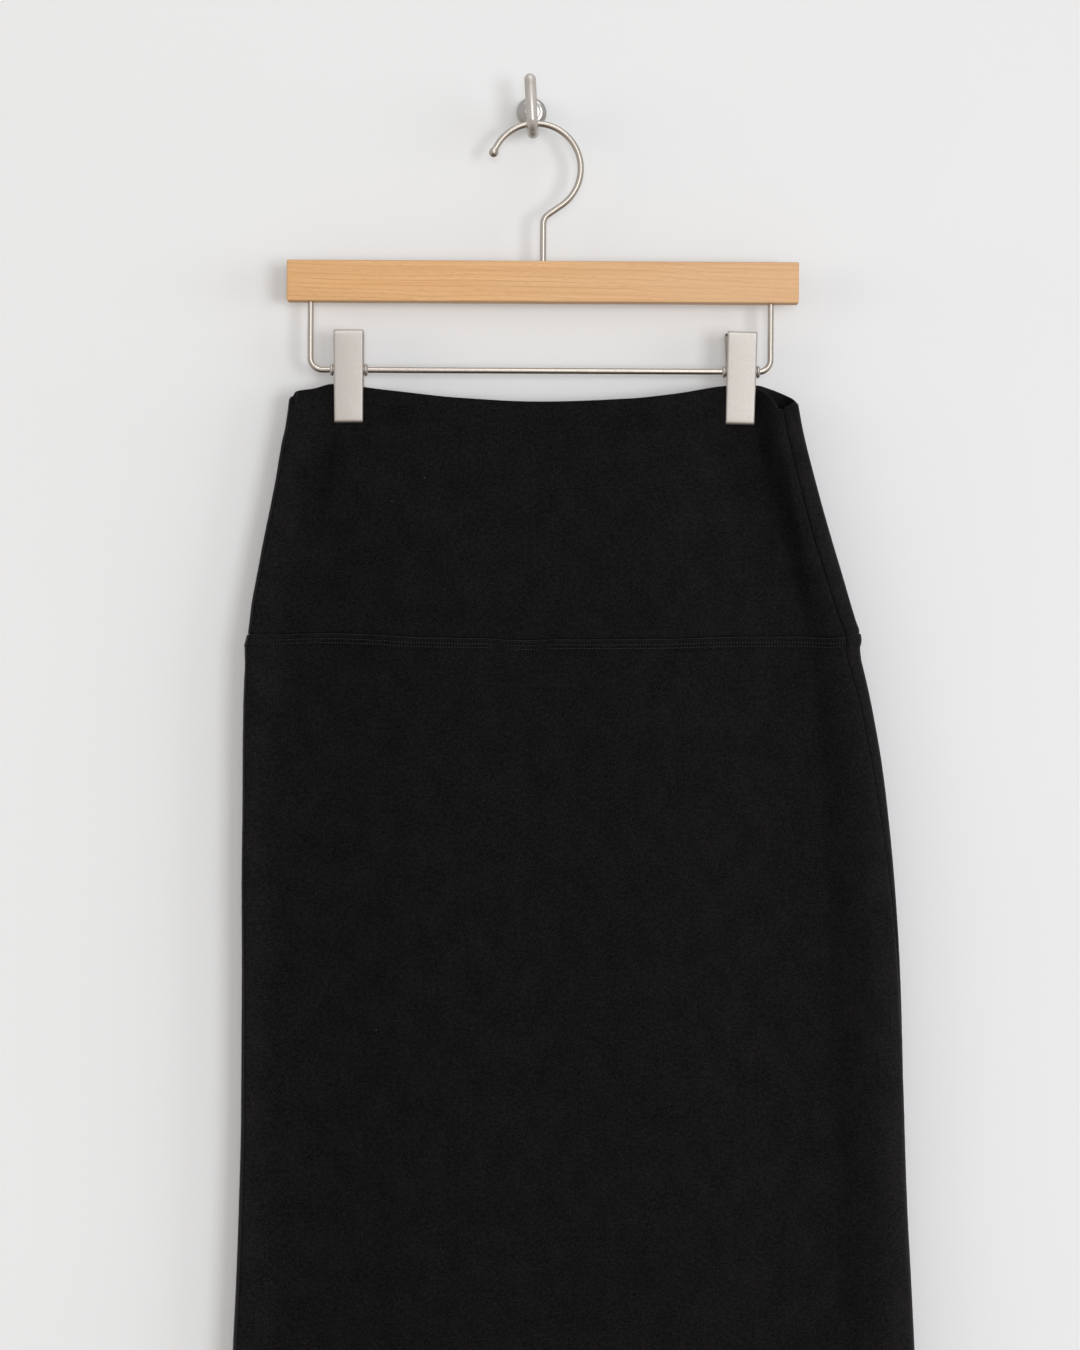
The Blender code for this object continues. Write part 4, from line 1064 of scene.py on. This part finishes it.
def jaw_plate(rows, side):
    """Channel of one sheet as a pillow: across it goes flange, bend, face, bend, flange.

    A bend is a quarter circle about a fixed centre, so the inner face is the same path
    with a radius smaller by the sheet. The face bows out a little across its width.
    """
    table = Table(JAW_COLUMNS, rows)
    low, high = rows[0][0], rows[-1][0]
    near = np.array((0.0, 0.05, 0.14, 0.26, 0.42, 0.62, 0.85, 1.15, 1.55, 2.1, 2.9))
    heights = np.concatenate((low + near, np.linspace(low + 3.6, high - 3.6, 34),
                              (high - near)[::-1]))
    face = table.read("face", heights)[:, None]
    flange = table.read("flange", heights)[:, None]
    half = table.read("half", heights)[:, None]
    leg = np.linspace(0.0, 1.0, 7)[:-1]
    bend = np.linspace(0.0, QUARTER, 9)
    across = np.linspace(-1.0, 1.0, 17)[1:-1]

    def section(depth_in):
        """All points across the channel at a depth inside its outer face, at each height."""
        r = JAW_CORNER - depth_in
        straight = flange - JAW_CORNER
        left = [(-half + depth_in, face - flange + straight * t) for t in leg]
        left += [(-half + JAW_CORNER - r * np.cos(a), face - JAW_CORNER + r * np.sin(a))
                 for a in bend]
        middle = [((half - JAW_CORNER) * t, face - depth_in + JAW_BOW * (1.0 - t * t))
                  for t in across]
        right = [(-x, off) for x, off in reversed(left)]
        line = left + middle + right
        x = np.concatenate([np.broadcast_to(p, face.shape) for p, _ in line], axis=1)
        off = np.concatenate([np.broadcast_to(q, face.shape) for _, q in line], axis=1)
        z = np.broadcast_to(heights[:, None], x.shape)
        return np.stack((x, -side * off, z), axis=-1)

    outer = section(0.0)
    steps = np.linalg.norm(np.diff(outer, axis=1), axis=-1)
    run = np.concatenate((np.zeros((len(heights), 1)), np.cumsum(steps, axis=1)), axis=1)
    end, side_edge = JAW_EDGE
    rounds = (edge_round(heights[:, None] - low, end), edge_round(high - heights[:, None], end),
              edge_round(run, side_edge), edge_round(run[:, -1:] - run, side_edge))
    inset = rounded_inset([np.broadcast_to(r, run.shape) for r in rounds], JAW_SHEET)
    deep = section(JAW_SHEET)

    def shifted(depth):
        """Blend of the outer and inner sections at a depth inside the sheet."""
        return outer + (deep - outer) * (depth / JAW_SHEET)[..., None]

    return pillow(shifted(inset), shifted(JAW_SHEET - inset))


def ear_ring(x, reach, side):
    """Flat ear around the eyelet: a square-sectioned ring whose rim follows the ear.

    On the far side the rim is a half circle of radius reach. Towards the jaw's plate it is
    a straight-sided tongue: the lesser of reach / |sine| and the plate's distance / |cosine|.
    """
    turns = round_turns(40)
    tongue = np.minimum(reach / np.maximum(np.abs(np.sin(turns)), 1e-6),
                        EAR_TO_PLATE / np.maximum(np.abs(np.cos(turns)), 1e-6))
    rim = np.where(np.cos(turns) > 0.0, tongue, reach)
    loop = ((0.0, 0.0), (0.25, 0.0), (0.75, 0.0), (1.0, 0.06), (1.0, 0.94),
            (0.75, 1.0), (0.25, 1.0), (0.0, 1.0))
    grid = np.empty((len(turns), len(loop), 3))
    for index, (share, through) in enumerate(loop):
        radius = EAR_HOLE + (rim - EAR_HOLE) * share
        grid[:, index, 0] = x + (through - 0.5) * JAW_SHEET
        grid[:, index, 1] = -side * radius * np.cos(turns)
        grid[:, index, 2] = radius * np.sin(turns)
    return closed_ring(grid)


def build_jaws(name, at, leans, material):
    """Front and back jaw of a clip: plate and two ears, leaning about the rod."""
    for (jaw, rows, side, ear_x, reach), lean in zip(JAWS, leans):
        ears = [ear_ring(hand * ear_x, reach, side) for hand in (-1, 1)]
        points, quads = joined([jaw_plate(rows, side)] + ears)
        points = on_hanger(turn_about_y(points, lean) + at)
        piece = make_piece(f"clip_{name}_{jaw}_plate", points, quads, material,
                           smooth=38)
        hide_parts(f"clip_{name}_{jaw}_jaw")


def build_eyelet(name, at, material):
    """Eyelet on the rod: a plain barrel that flares and rolls over at both ends."""
    mirrored = [(-along, radius) for along, radius in EYELET_FLARE[::-1]]
    profile = (mirrored + [(along, BARREL_OUTER) for along in BARREL_PLACES]
               + list(EYELET_FLARE) + [(along, BARREL_INNER) for along in BARREL_PLACES[::-1]])
    points, quads = turned_ring(profile, 48)
    eyelet = make_piece(f"clip_{name}_eyelet_ring", on_hanger(points + at), quads, material,
                        smooth=50)
    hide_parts(f"clip_{name}_eyelet")


def build_spring(name, at, material):
    """Coil spring round the eyelet, with a straight leg up into each jaw.

    The coil is a helix about X: its turn grows evenly along its length.
    """
    share = np.linspace(0.0, 1.0, 150)
    turn = HALF_TURN * (1.0 + SPRING_HALF_TURNS * share)
    coil = np.stack((SPRING_HALF_LENGTH * (2.0 * share - 1.0), SPRING_COIL * np.cos(turn),
                     SPRING_COIL * np.sin(turn)), axis=-1)
    leg = np.linspace(0.0, 1.0, 16)[:, None]
    out, up = SPRING_LEG
    first = np.array((-SPRING_HALF_LENGTH, -out, up)) * (1.0 - leg) + coil[0] * leg
    last = coil[-1] * (1.0 - leg) + np.array((SPRING_HALF_LENGTH, out, up)) * leg
    path = np.concatenate((first[:-1], coil, last[1:]))
    tangent = unit(np.gradient(path, axis=0))
    side = unit(np.cross(tangent, (1.0, 0.0, 0.0)))
    other = np.cross(tangent, side)
    turns = round_turns(10)
    rings = path[:, None, :] + SPRING_WIRE * (np.cos(turns)[None, :, None] * side[:, None, :]
                                              + np.sin(turns)[None, :, None] * other[:, None, :])
    points, quads, caps = capped_tube(rings)
    spring = make_piece(f"clip_{name}_coil_spring", on_hanger(points + at), quads, material,
                        caps, smooth=60)
    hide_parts(f"clip_{name}_spring")


# ================================================================ materials
class Nodes:
    """A node tree, with short calls to add nodes and wire them up."""

    def __init__(self, tree):
        self.tree = tree

    def wire(self, source, target):
        """Link an output to an input."""
        self.tree.links.new(source, target)

    def feed(self, socket, value):
        """Wire an output to an input, or set the input to a plain value."""
        if hasattr(value, "is_output"):
            self.wire(value, socket)
        else:
            socket.default_value = value

    def add(self, kind, **settings):
        """New node of a kind, with its settings."""
        node = self.tree.nodes.new(kind)
        for key, value in settings.items():
            setattr(node, key, value)
        return node

    def math(self, operation, a, b=0.0):
        """One step of arithmetic on one or two values."""
        node = self.add("ShaderNodeMath", operation=operation)
        for socket, value in zip(node.inputs, (a, b)):
            self.feed(socket, value)
        return node.outputs[0]

    def weighted(self, *terms):
        """Sum of values times their weights."""
        total = None
        for value, weight in terms:
            part = value if weight == 1.0 else self.math("MULTIPLY", value, weight)
            total = part if total is None else self.math("ADD", total, part)
        return total

    def objects(self):
        """Place in the piece's own coordinates, metres."""
        return self.add("ShaderNodeTexCoord").outputs["Object"]

    def layer(self, name):
        """One of a piece's own flat maps."""
        return self.add("ShaderNodeUVMap", uv_map=name).outputs[0]

    def split(self, vector):
        """The three parts of a vector."""
        node = self.add("ShaderNodeSeparateXYZ")
        self.wire(vector, node.inputs[0])
        return node.outputs

    def stretched(self, vector, scale):
        """A vector times a scale for each of its parts."""
        node = self.add("ShaderNodeMapping")
        self.wire(vector, node.inputs["Vector"])
        node.inputs["Scale"].default_value = scale
        return node.outputs[0]

    def noise(self, vector, scale, detail, roughness):
        """Cloudy values about 0.5, finer with a larger scale."""
        node = self.add("ShaderNodeTexNoise")
        self.wire(vector, node.inputs["Vector"])
        node.inputs["Scale"].default_value = scale
        node.inputs["Detail"].default_value = detail
        node.inputs["Roughness"].default_value = roughness
        return node.outputs[0]

    def between(self, value, low, high, out_low=0.0, out_high=1.0):
        """A value carried evenly from one span to another, and held at its ends."""
        node = self.add("ShaderNodeMapRange")
        for socket, given in zip(node.inputs, (value, low, high, out_low, out_high)):
            self.feed(socket, given)
        return node.outputs[0]

    def blend(self, share, first, second):
        """Colour: first at share 0, second at share 1."""
        node = self.add("ShaderNodeMix", data_type="RGBA")
        self.feed(node.inputs[0], share)
        for socket, value in ((node.inputs[6], first), (node.inputs[7], second)):
            self.feed(socket, (*value, 1.0) if isinstance(value, tuple) else value)
        return node.outputs[2]

    def bumped(self, height, strength, distance, under=None):
        """Normal of a surface with a fine relief, over another one where given."""
        node = self.add("ShaderNodeBump")
        node.inputs["Strength"].default_value = strength
        node.inputs["Distance"].default_value = distance
        self.wire(height, node.inputs["Height"])
        if under is not None:
            self.wire(under, node.inputs["Normal"])
        return node.outputs[0]


class Finish(Nodes):
    """A material: its node tree and the main shader's inputs by plain names."""
    INPUTS = {"colour": "Base Color", "roughness": "Roughness", "metallic": "Metallic",
              "specular": "Specular IOR Level", "sheen": "Sheen Weight",
              "sheen_roughness": "Sheen Roughness", "sheen_tint": "Sheen Tint",
              "coat": "Coat Weight", "coat_roughness": "Coat Roughness", "normal": "Normal"}

    def __init__(self, name):
        self.material = bpy.data.materials.new(name)
        self.material.use_nodes = True
        super().__init__(self.material.node_tree)
        self.shader = self.tree.nodes["Principled BSDF"]

    def set(self, **inputs):
        """Feed the shader's inputs; a colour is given as three parts."""
        for key, value in inputs.items():
            self.feed(self.shader.inputs[self.INPUTS[key]],
                      (*value, 1.0) if isinstance(value, tuple) else value)


WALE = 0.66 * MM            # width of a column of loops
COURSE = 0.52 * MM          # height of a row of loops


def knit_material():
    """Matt black double knit: fine stitches in wales and courses, mottling, rare lint.

    Loops are a sine up the cloth, leaning to and fro with each wale, and ribs a sine across.
    Painted shade darkens it round each needle hole and in the slit of a seam, and a painted sheen
    lightens it where the cloth is seen edge-on.
    """
    m = Finish("black double knit")
    flat = m.layer("flat_cloth")
    across, along, _ = m.split(flat)
    wale = m.math("MULTIPLY", across, 1.0 / WALE)
    course = m.weighted((along, 1.0 / COURSE), (m.math("PINGPONG", wale, 0.5), 0.9))
    loop = m.math("SINE", m.math("MULTIPLY", course, FULL_TURN))
    rib = m.math("SINE", m.math("MULTIPLY", wale, FULL_TURN))
    knit = m.weighted((loop, 0.5), (rib, 0.7))
    grain = m.noise(flat, 820.0, 3.0, 0.7)
    mottle = m.noise(flat, 330.0, 4.0, 0.65)
    clouds = m.noise(m.stretched(flat, (1.0, 0.7, 1.0)), 62.0, 3.0, 0.5)
    low = m.bumped(m.weighted((mottle, 1.0), (clouds, 0.3)), 0.35, 0.35 * MM)
    normal = m.bumped(m.weighted((knit, 0.35), (grain, 0.9)), 0.55, 0.16 * MM, low)
    shade = m.weighted((grain, 0.55), (mottle, 0.33), (clouds, 0.12))
    cloth = m.blend(m.between(shade, 0.420, 0.602), (0.0002, 0.0002, 0.0002),
                    (0.0104, 0.0092, 0.0102))

    below_seam, above_hem, _ = m.split(m.layer("from_seams"))

    def away_from(place, row):
        """Distance from a row, whichever side."""
        return m.math("ABSOLUTE", m.math("SUBTRACT", place, row * MM))

    rows = [away_from(below_seam, row) for row in NEEDLE_ROWS]
    rows += [away_from(above_hem, row) for row in HEM_NEEDLE_ROWS]
    nearest = rows[0]
    for row in rows[1:]:
        nearest = m.math("MINIMUM", nearest, row)
    # Painted shade round the needle holes: distance to the nearest hole along the stitch rows.
    step = m.math("PINGPONG", m.math("MULTIPLY", across, 1.0 / (STITCH_PITCH * MM)), 0.5)
    step = m.math("MULTIPLY", step, STITCH_PITCH * MM)
    reach = m.math("SQRT", m.math("ADD", m.math("POWER", step, 2.0), m.math("POWER", nearest, 2.0)))
    painted_hole_shade = m.between(reach, 0.42 * MM, 0.95 * MM, 0.98, 0.0)
    # Painted shade in the slits of the waistband seam and of the side seams.
    painted_slit_shade = m.between(away_from(below_seam, -0.35), 0.25 * MM, 1.1 * MM, 0.55, 0.0)
    from_left, from_right, _ = m.split(m.layer("from_sides"))
    nearest_side = m.math("MINIMUM", from_left, from_right)
    painted_slit_shade = m.math("MAXIMUM", painted_slit_shade, m.between(nearest_side, 0.2 * MM, 1.1 * MM, 0.65, 0.0))
    # Both painted shades darken the cloth towards near black.
    cloth = m.blend(m.math("MAXIMUM", painted_hole_shade, painted_slit_shade), cloth, (0.0008, 0.0007, 0.0008))

    cells = m.add("ShaderNodeTexVoronoi", feature="F1")
    m.wire(flat, cells.inputs["Vector"])
    cells.inputs["Scale"].default_value = 40.0
    near = m.between(cells.outputs["Distance"], 0.012, 0.026, 1.0, 0.0)
    chosen = m.math("GREATER_THAN", m.split(cells.outputs["Color"])[0], 0.78)
    lint = m.math("MULTIPLY", near, chosen)
    colour = m.blend(m.math("MULTIPLY", lint, 0.55), cloth, (0.085, 0.08, 0.08))
    # Painted sheen: the colour lightens where the cloth is seen edge-on, standing in for the glow
    # of its fuzz.
    facing = m.add("ShaderNodeLayerWeight").outputs["Facing"]
    painted_edge_sheen = m.between(facing, 0.30, 0.85, 0.0, 0.10)
    colour = m.blend(painted_edge_sheen, colour, (0.080, 0.074, 0.079))
    m.set(colour=colour, roughness=m.between(mottle, 0.3, 0.7, 0.86, 0.98), specular=0.10,
          sheen=0.09, sheen_roughness=0.36, sheen_tint=(1.0, 0.95, 0.99), normal=normal)
    return m.material


def thread_material():
    """Black sewing thread, a little smoother than the cloth, with its ply."""
    m = Finish("black sewing thread")
    ply = m.noise(m.stretched(m.objects(), (1.0, 1.0, 0.4)), 5200.0, 2.0, 0.6)
    tone = m.noise(m.objects(), 330.0, 2.0, 0.5)
    m.set(colour=m.blend(m.between(tone, 0.35, 0.65), (0.0200, 0.0187, 0.0200),
                         (0.0320, 0.0300, 0.0320)),
          roughness=m.between(ply, 0.3, 0.7, 0.55, 0.75), specular=0.24, sheen=0.06,
          sheen_roughness=0.4, normal=m.bumped(ply, 0.4, 0.05 * MM))
    return m.material


def wood_material():
    """Pale honey wood: lengthwise grain lines, fibres and pores under a satin lacquer."""
    m = Finish("pale wood")
    place = m.objects()
    drift = m.noise(m.stretched(place, (5.0, 14.0, 22.0)), 1.0, 2.0, 0.5)
    quiver = m.noise(m.stretched(place, (38.0, 30.0, 60.0)), 1.0, 2.0, 0.5)
    x, y, z = m.split(place)
    level = m.weighted((z, 1.0), (y, 0.45), (x, 0.030), (drift, 13.0 * MM), (quiver, 1.6 * MM))

    def late_wood(spacing, offset, power):
        """Ring lines: the share through a ring raised to a power, then a quick fall."""
        ring = m.math("FRACT", m.math("ADD", m.math("MULTIPLY", level, 1.0 / spacing), offset))
        return m.math("MULTIPLY", m.math("POWER", ring, power),
                      m.between(ring, 0.975, 1.0, 1.0, 0.0))

    bold = m.noise(m.stretched(place, (2.5, 70.0, 210.0)), 1.0, 2.0, 0.5)
    wide = m.math("MULTIPLY", late_wood(3.1 * MM, 0.0, 11.0),
                  m.between(bold, 0.34, 0.62, 0.35, 1.0))
    fine = m.math("MULTIPLY", late_wood(1.75 * MM, 0.4, 8.0),
                  m.between(bold, 0.4, 0.7, 0.50, 0.20))
    fibres = m.noise(m.stretched(place, (150.0, 1100.0, 1100.0)), 1.0, 3.0, 0.6)
    streaks = m.noise(m.stretched(place, (6.0, 300.0, 300.0)), 1.0, 3.0, 0.6)
    patches = m.noise(m.stretched(place, (8.0, 60.0, 60.0)), 1.0, 2.0, 0.5)
    base = m.blend(m.between(streaks, 0.37, 0.63), (0.742, 0.452, 0.220), (0.650, 0.368, 0.162))
    base = m.blend(m.between(patches, 0.38, 0.68, 0.0, 0.6), base, (0.715, 0.452, 0.235))
    grain = m.blend(m.math("MULTIPLY", wide, 0.9), base, (0.340, 0.135, 0.056))
    grain = m.blend(fine, grain, (0.500, 0.240, 0.105))
    colour = m.blend(m.between(fibres, 0.48, 0.70, 0.0, 0.48), grain, (0.540, 0.285, 0.120))
    redder_left = m.between(x, -0.160, 0.0, 0.20, 0.0)
    colour = m.blend(redder_left, colour, (0.520, 0.240, 0.050))
    duller_right = m.between(x, -0.060, 0.130, 0.0, 0.34)
    colour = m.blend(duller_right, colour, (0.634, 0.410, 0.252))
    normal = m.bumped(m.weighted((fibres, 1.0), (wide, 0.6)), 0.25, 0.05 * MM)
    m.set(colour=colour, roughness=m.between(streaks, 0.3, 0.7, 0.46, 0.58), specular=0.4,
          coat=0.12, coat_roughness=0.35, normal=normal)
    return m.material


def wire_material():
    """Satin nickel plate on drawn wire: warm, even, with a trace of haze."""
    m = Finish("satin nickel wire")
    place = m.objects()
    cloud = m.noise(place, 60.0, 2.0, 0.5)
    haze = m.noise(place, 900.0, 3.0, 0.6)
    m.set(colour=m.blend(m.between(cloud, 0.3, 0.7), (0.750, 0.694, 0.634), (0.728, 0.669, 0.609)),
          metallic=1.0, roughness=m.between(haze, 0.3, 0.7, 0.225, 0.240))
    return m.material


def plate_material():
    """Bead-blasted nickel plate: fine faint speckle, broad soft gloss, slight yellowing."""
    m = Finish("frosted nickel plate")
    place = m.objects()
    speckle = m.noise(place, 1150.0, 4.0, 0.75)
    cloud = m.noise(place, 45.0, 2.0, 0.5)
    base = m.blend(m.between(cloud, 0.3, 0.7), (0.782, 0.747, 0.717), (0.765, 0.727, 0.694))
    colour = m.blend(m.between(speckle, 0.36, 0.66), base, (0.683, 0.646, 0.615))
    m.set(colour=colour, metallic=1.0, roughness=m.between(speckle, 0.3, 0.7, 0.43, 0.49),
          normal=m.bumped(speckle, 0.20, 0.012 * MM))
    return m.material


def chromed(m, light, dark):
    """Haze between two tones and soft casting waves, as on both chromed pieces."""
    haze = m.noise(m.objects(), 240.0, 3.0, 0.5)
    waves = m.noise(m.objects(), 130.0, 1.0, 0.4)
    m.set(colour=m.blend(m.between(haze, 0.3, 0.7), light, dark),
          normal=m.bumped(waves, 0.10, 0.05 * MM))
    return haze


def chrome_material():
    """Polished chrome with a trace of haze."""
    m = Finish("polished chrome")
    haze = chromed(m, (0.68, 0.66, 0.64), (0.62, 0.60, 0.58))
    m.set(metallic=1.0, roughness=m.between(haze, 0.3, 0.7, 0.10, 0.16))
    return m.material


def hook_material():
    """Satin chrome rod: a soft sheen at the tip, clearer low down where hangers rub it."""
    m = Finish("satin chrome rod")
    chromed(m, (0.80, 0.77, 0.74), (0.72, 0.69, 0.66))
    height = m.split(m.objects())[2]
    m.set(metallic=0.80, roughness=m.between(height, -0.010, 0.008, 0.20, 0.46))
    return m.material


def spring_material():
    """Bright drawn spring wire with fine marks."""
    m = Finish("spring steel")
    place = m.objects()
    marks = m.noise(place, 2600.0, 2.0, 0.6)
    m.set(colour=m.blend(m.between(marks, 0.35, 0.65), (0.50, 0.49, 0.47), (0.38, 0.37, 0.355)),
          metallic=1.0, roughness=m.between(marks, 0.3, 0.7, 0.24, 0.36),
          normal=m.bumped(marks, 0.2, 0.03 * MM))
    return m.material


# ================================================================ build
KNIT = knit_material()
THREAD = thread_material()
WIRE_NICKEL = wire_material()
PLATE_NICKEL = plate_material()
SPRING_STEEL = spring_material()

build_wall_hook(hook_material())
build_rosette(chrome_material())
build_wire_hook(WIRE_NICKEL)
build_rail(WIRE_NICKEL)
for clip_name, clip_x, *leans in CLIPS:
    clip_place = np.array((clip_x, 0.0, RAIL_HEIGHT))
    build_jaws(clip_name, clip_place, leans, PLATE_NICKEL)
    build_eyelet(clip_name, clip_place, PLATE_NICKEL)
    build_spring(clip_name, clip_place, SPRING_STEEL)

bar = frame["nodes"]["hanger_bar"]
bar.data.materials.clear()
bar.data.materials.append(wood_material())

# name, side, part, flat width and length, flat area
PANELS = (
    ("yoke_front", 1, "yoke", (0.430, 0.180), 0.0645),
    ("yoke_back", -1, "yoke", (0.470, 0.180), 0.0700),
    ("skirt_front", 1, "skirt", (0.490, 0.660), 0.3060),
    ("skirt_back", -1, "skirt", (0.510, 0.660), 0.3160),
)
CLOTH = []
for node, side, part, flat, area in PANELS:
    piece, outer, normal, from_top, from_low, along = build_panel("knit_" + node, side, part, KNIT)
    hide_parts(node)
    threads = []
    if part == "skirt":
        lines = [stitch_line(outer, normal, along, distances, row, side)
                 for distances, rows in ((from_top, NEEDLE_ROWS), (from_low, HEM_NEEDLE_ROWS))
                 for row in rows]
        threads.append(stitch_rows("topstitching_" + node, lines, THREAD))
    CLOTH.extend([piece] + threads)

# ================================================================ room, light and camera
FLOOR_Z = -1.32
WALL_Y = 0.0006
WALL_HALF_WIDTH, WALL_TOP = 2.4, 1.6
FLOOR_HALF_WIDTH = 6.0

ROOM_BELOW = (0.05, 0.045, 0.04)
ROOM_FLOOR = (0.40, 0.355, 0.315)
ROOM_UPPER = (0.50, 0.495, 0.49)
ROOM_BEHIND = (0.46, 0.45, 0.44)
ROOM_BACKDROP = (0.80, 0.80, 0.80)

CAMERA_SENSOR = 36.0
CAMERA_LENS = 76.19
CAMERA_PLACE = (0.0060, -2.0225, -0.3975)

LIGHT_AWAY = 9.0                    # distance of every light from where all aim
LIGHTS_AIM = (0.0, 0.0, -0.4)
LIGHT_TINT = {"left side": (1.08, 1.0, 0.84)}

# name, turn to the right and height in degrees, half width and half height in degrees,
# share of a white wall's light, what it falls on
LIGHTS = (
    ("front fill", 2.0, -1.0, 7.0, 9.0, 0.205, "room"),
    ("window", 28.0, -3.0, 9.0, 10.0, 0.26, "room"),
    ("cloth window", 28.0, -3.0, 9.0, 10.0, 0.165, "cloth"),
    ("left side", -68.0, 4.0, 16.0, 12.0, 0.074, "room"),
    ("right side", 68.0, 0.0, 16.0, 12.0, 0.095, "object"),
    ("cloth rake", 73.0, 12.0, 9.0, 14.0, 0.265, "cloth"),
    ("cloth edge", -97.0, 4.0, 10.0, 14.0, 0.075, "cloth"),
    ("cloth behind", 152.0, 12.0, 16.0, 16.0, 0.45, "cloth"),
    ("floor sky", 0.0, 60.0, 20.0, 20.0, 0.38, "floor"),
    ("metal glow", 13.0, 8.0, 14.0, 14.0, 0.130, "metal"),
    ("metal ceiling", 8.0, 50.0, 24.0, 16.0, 0.11, "metal"),
)


def stage_material(name, colour, one_sided):
    """Plain painted surface with a faint unevenness; one side of the wall is left open."""
    m = Finish(name)
    tone = m.noise(m.objects(), 3.0, 3.0, 0.5)
    darker = tuple(0.985 * c for c in colour)
    m.set(colour=m.blend(m.between(tone, 0.3, 0.7), colour, darker), roughness=0.9, specular=0.1)
    if one_sided:
        out = m.tree.nodes["Material Output"]
        clear = m.add("ShaderNodeBsdfTransparent")
        mix = m.add("ShaderNodeMixShader")
        m.wire(m.add("ShaderNodeNewGeometry").outputs["Backfacing"], mix.inputs[0])
        m.wire(m.shader.outputs[0], mix.inputs[1])
        m.wire(clear.outputs[0], mix.inputs[2])
        m.wire(mix.outputs[0], out.inputs["Surface"])
    return m.material


def stage_plane(name, corners, material):
    """One flat of the stage, which takes shadows but throws neither shadow nor light."""
    mesh = bpy.data.meshes.new(name)
    mesh.from_pydata(corners, [], [(0, 1, 2, 3)])
    mesh.materials.append(material)
    plane = bpy.data.objects.new(name, mesh)
    bpy.context.scene.collection.objects.link(plane)
    for ray in ("shadow", "diffuse", "glossy", "transmission"):
        setattr(plane, "visible_" + ray, False)
    return plane


def build_room():
    """Plain room all round, by direction: warm low, paler high and pale behind the wall.

    Its colour goes from floor to upper room by height, then to the side past the wall.
    Mirrored in metal, the room is dark straight below, where the black cloth hangs.
    Seen directly, the room is a plain pale backdrop.
    """
    world = bpy.data.worlds.new("room")
    bpy.context.scene.world = world
    world.use_nodes = True
    m = Nodes(world.node_tree)
    m.tree.nodes.clear()
    _, y, z = m.split(m.add("ShaderNodeTexCoord").outputs["Generated"])
    room = m.blend(m.between(z, -0.35, 0.30), ROOM_FLOOR, ROOM_UPPER)
    room = m.blend(m.between(y, 0.15, -0.15), ROOM_BEHIND, room)
    path = m.add("ShaderNodeLightPath")
    below = m.math("MULTIPLY", path.outputs["Is Glossy Ray"], m.between(z, -0.45, -0.90))
    room = m.blend(below, room, ROOM_BELOW)
    background = m.add("ShaderNodeBackground")
    m.wire(m.blend(path.outputs["Is Camera Ray"], room, ROOM_BACKDROP),
           background.inputs["Color"])
    m.wire(background.outputs[0], m.add("ShaderNodeOutputWorld").inputs["Surface"])


def light_group(name, pieces, included):
    """Collection of the pieces that a light falls on, or leaves out."""
    group = bpy.data.collections.new(name)
    for piece in pieces:
        group.objects.link(piece)
    for member in group.collection_objects:
        member.light_linking.link_state = "INCLUDE" if included else "EXCLUDE"
    return group


def soft_light(name, turn, height, half_width, half_height, share, falls_on):
    """Large soft panel far off, aimed at the skirt.

    Its power is share * pi * pi * distance * distance / |cosine to the wall's normal|, so a
    share is the light it gives a white wall.
    """
    turn, height = math.radians(turn), math.radians(height)
    way = Vector((math.sin(turn) * math.cos(height), -math.cos(turn) * math.cos(height),
                  math.sin(height)))
    lamp = bpy.data.lights.new(name, "AREA")
    lamp.shape = "RECTANGLE"
    lamp.size = 2.0 * LIGHT_AWAY * math.tan(math.radians(half_width))
    lamp.size_y = 2.0 * LIGHT_AWAY * math.tan(math.radians(half_height))
    lamp.color = LIGHT_TINT.get(name, (1.0, 1.0, 1.0))
    lamp.energy = share * math.pi ** 2 * LIGHT_AWAY ** 2 / abs(way.y)
    holder = bpy.data.objects.new(name, lamp)
    bpy.context.scene.collection.objects.link(holder)
    holder.location = Vector(LIGHTS_AIM) + LIGHT_AWAY * way
    holder.rotation_euler = way.to_track_quat("Z", "Y").to_euler()
    holder.visible_camera = False
    holder.visible_diffuse = falls_on != "metal"
    holder.visible_glossy = falls_on in ("metal", "cloth")
    if falls_on in RECEIVERS:
        holder.light_linking.receiver_collection = RECEIVERS[falls_on]
    if falls_on in BLOCKERS:
        holder.light_linking.blocker_collection = BLOCKERS[falls_on]


stage_plane("room_wall", [(across * WALL_HALF_WIDTH, WALL_Y, height)
                          for across, height in ((-1, FLOOR_Z), (1, FLOOR_Z), (1, WALL_TOP),
                                                 (-1, WALL_TOP))],
            stage_material("wall paint", (0.79, 0.806, 0.83), True))
floor = stage_plane("room_floor", [(across * FLOOR_HALF_WIDTH, deep * FLOOR_HALF_WIDTH, FLOOR_Z)
                                   for across, deep in ((-1, -1), (1, -1), (1, 1), (-1, 1))],
                    stage_material("floor paint", (0.78, 0.775, 0.77), False))
FLOOR_ONLY = light_group("lit floor", [floor], True)
RECEIVERS = {
    "cloth": light_group("lit cloth", CLOTH, True),
    "room": light_group("unlit cloth and floor", [*CLOTH, floor], False),
    "object": light_group("unlit floor", [floor], False),
    "floor": FLOOR_ONLY,
}
BLOCKERS = {
    "cloth": light_group("cloth that casts shadow", CLOTH, True),
    "floor": FLOOR_ONLY,
}
build_room()
for light in LIGHTS:
    soft_light(*light)

scene = bpy.context.scene
scene.view_settings.view_transform = "Standard"
scene.view_settings.look = "None"
camera_data = bpy.data.cameras.new("camera")
camera_data.sensor_width = CAMERA_SENSOR
camera_data.lens = CAMERA_LENS
camera_data.clip_start = 0.05
camera = bpy.data.objects.new("camera", camera_data)
scene.collection.objects.link(camera)
camera.location = CAMERA_PLACE
camera.rotation_euler = (QUARTER, 0.0, 0.0)
scene.camera = camera
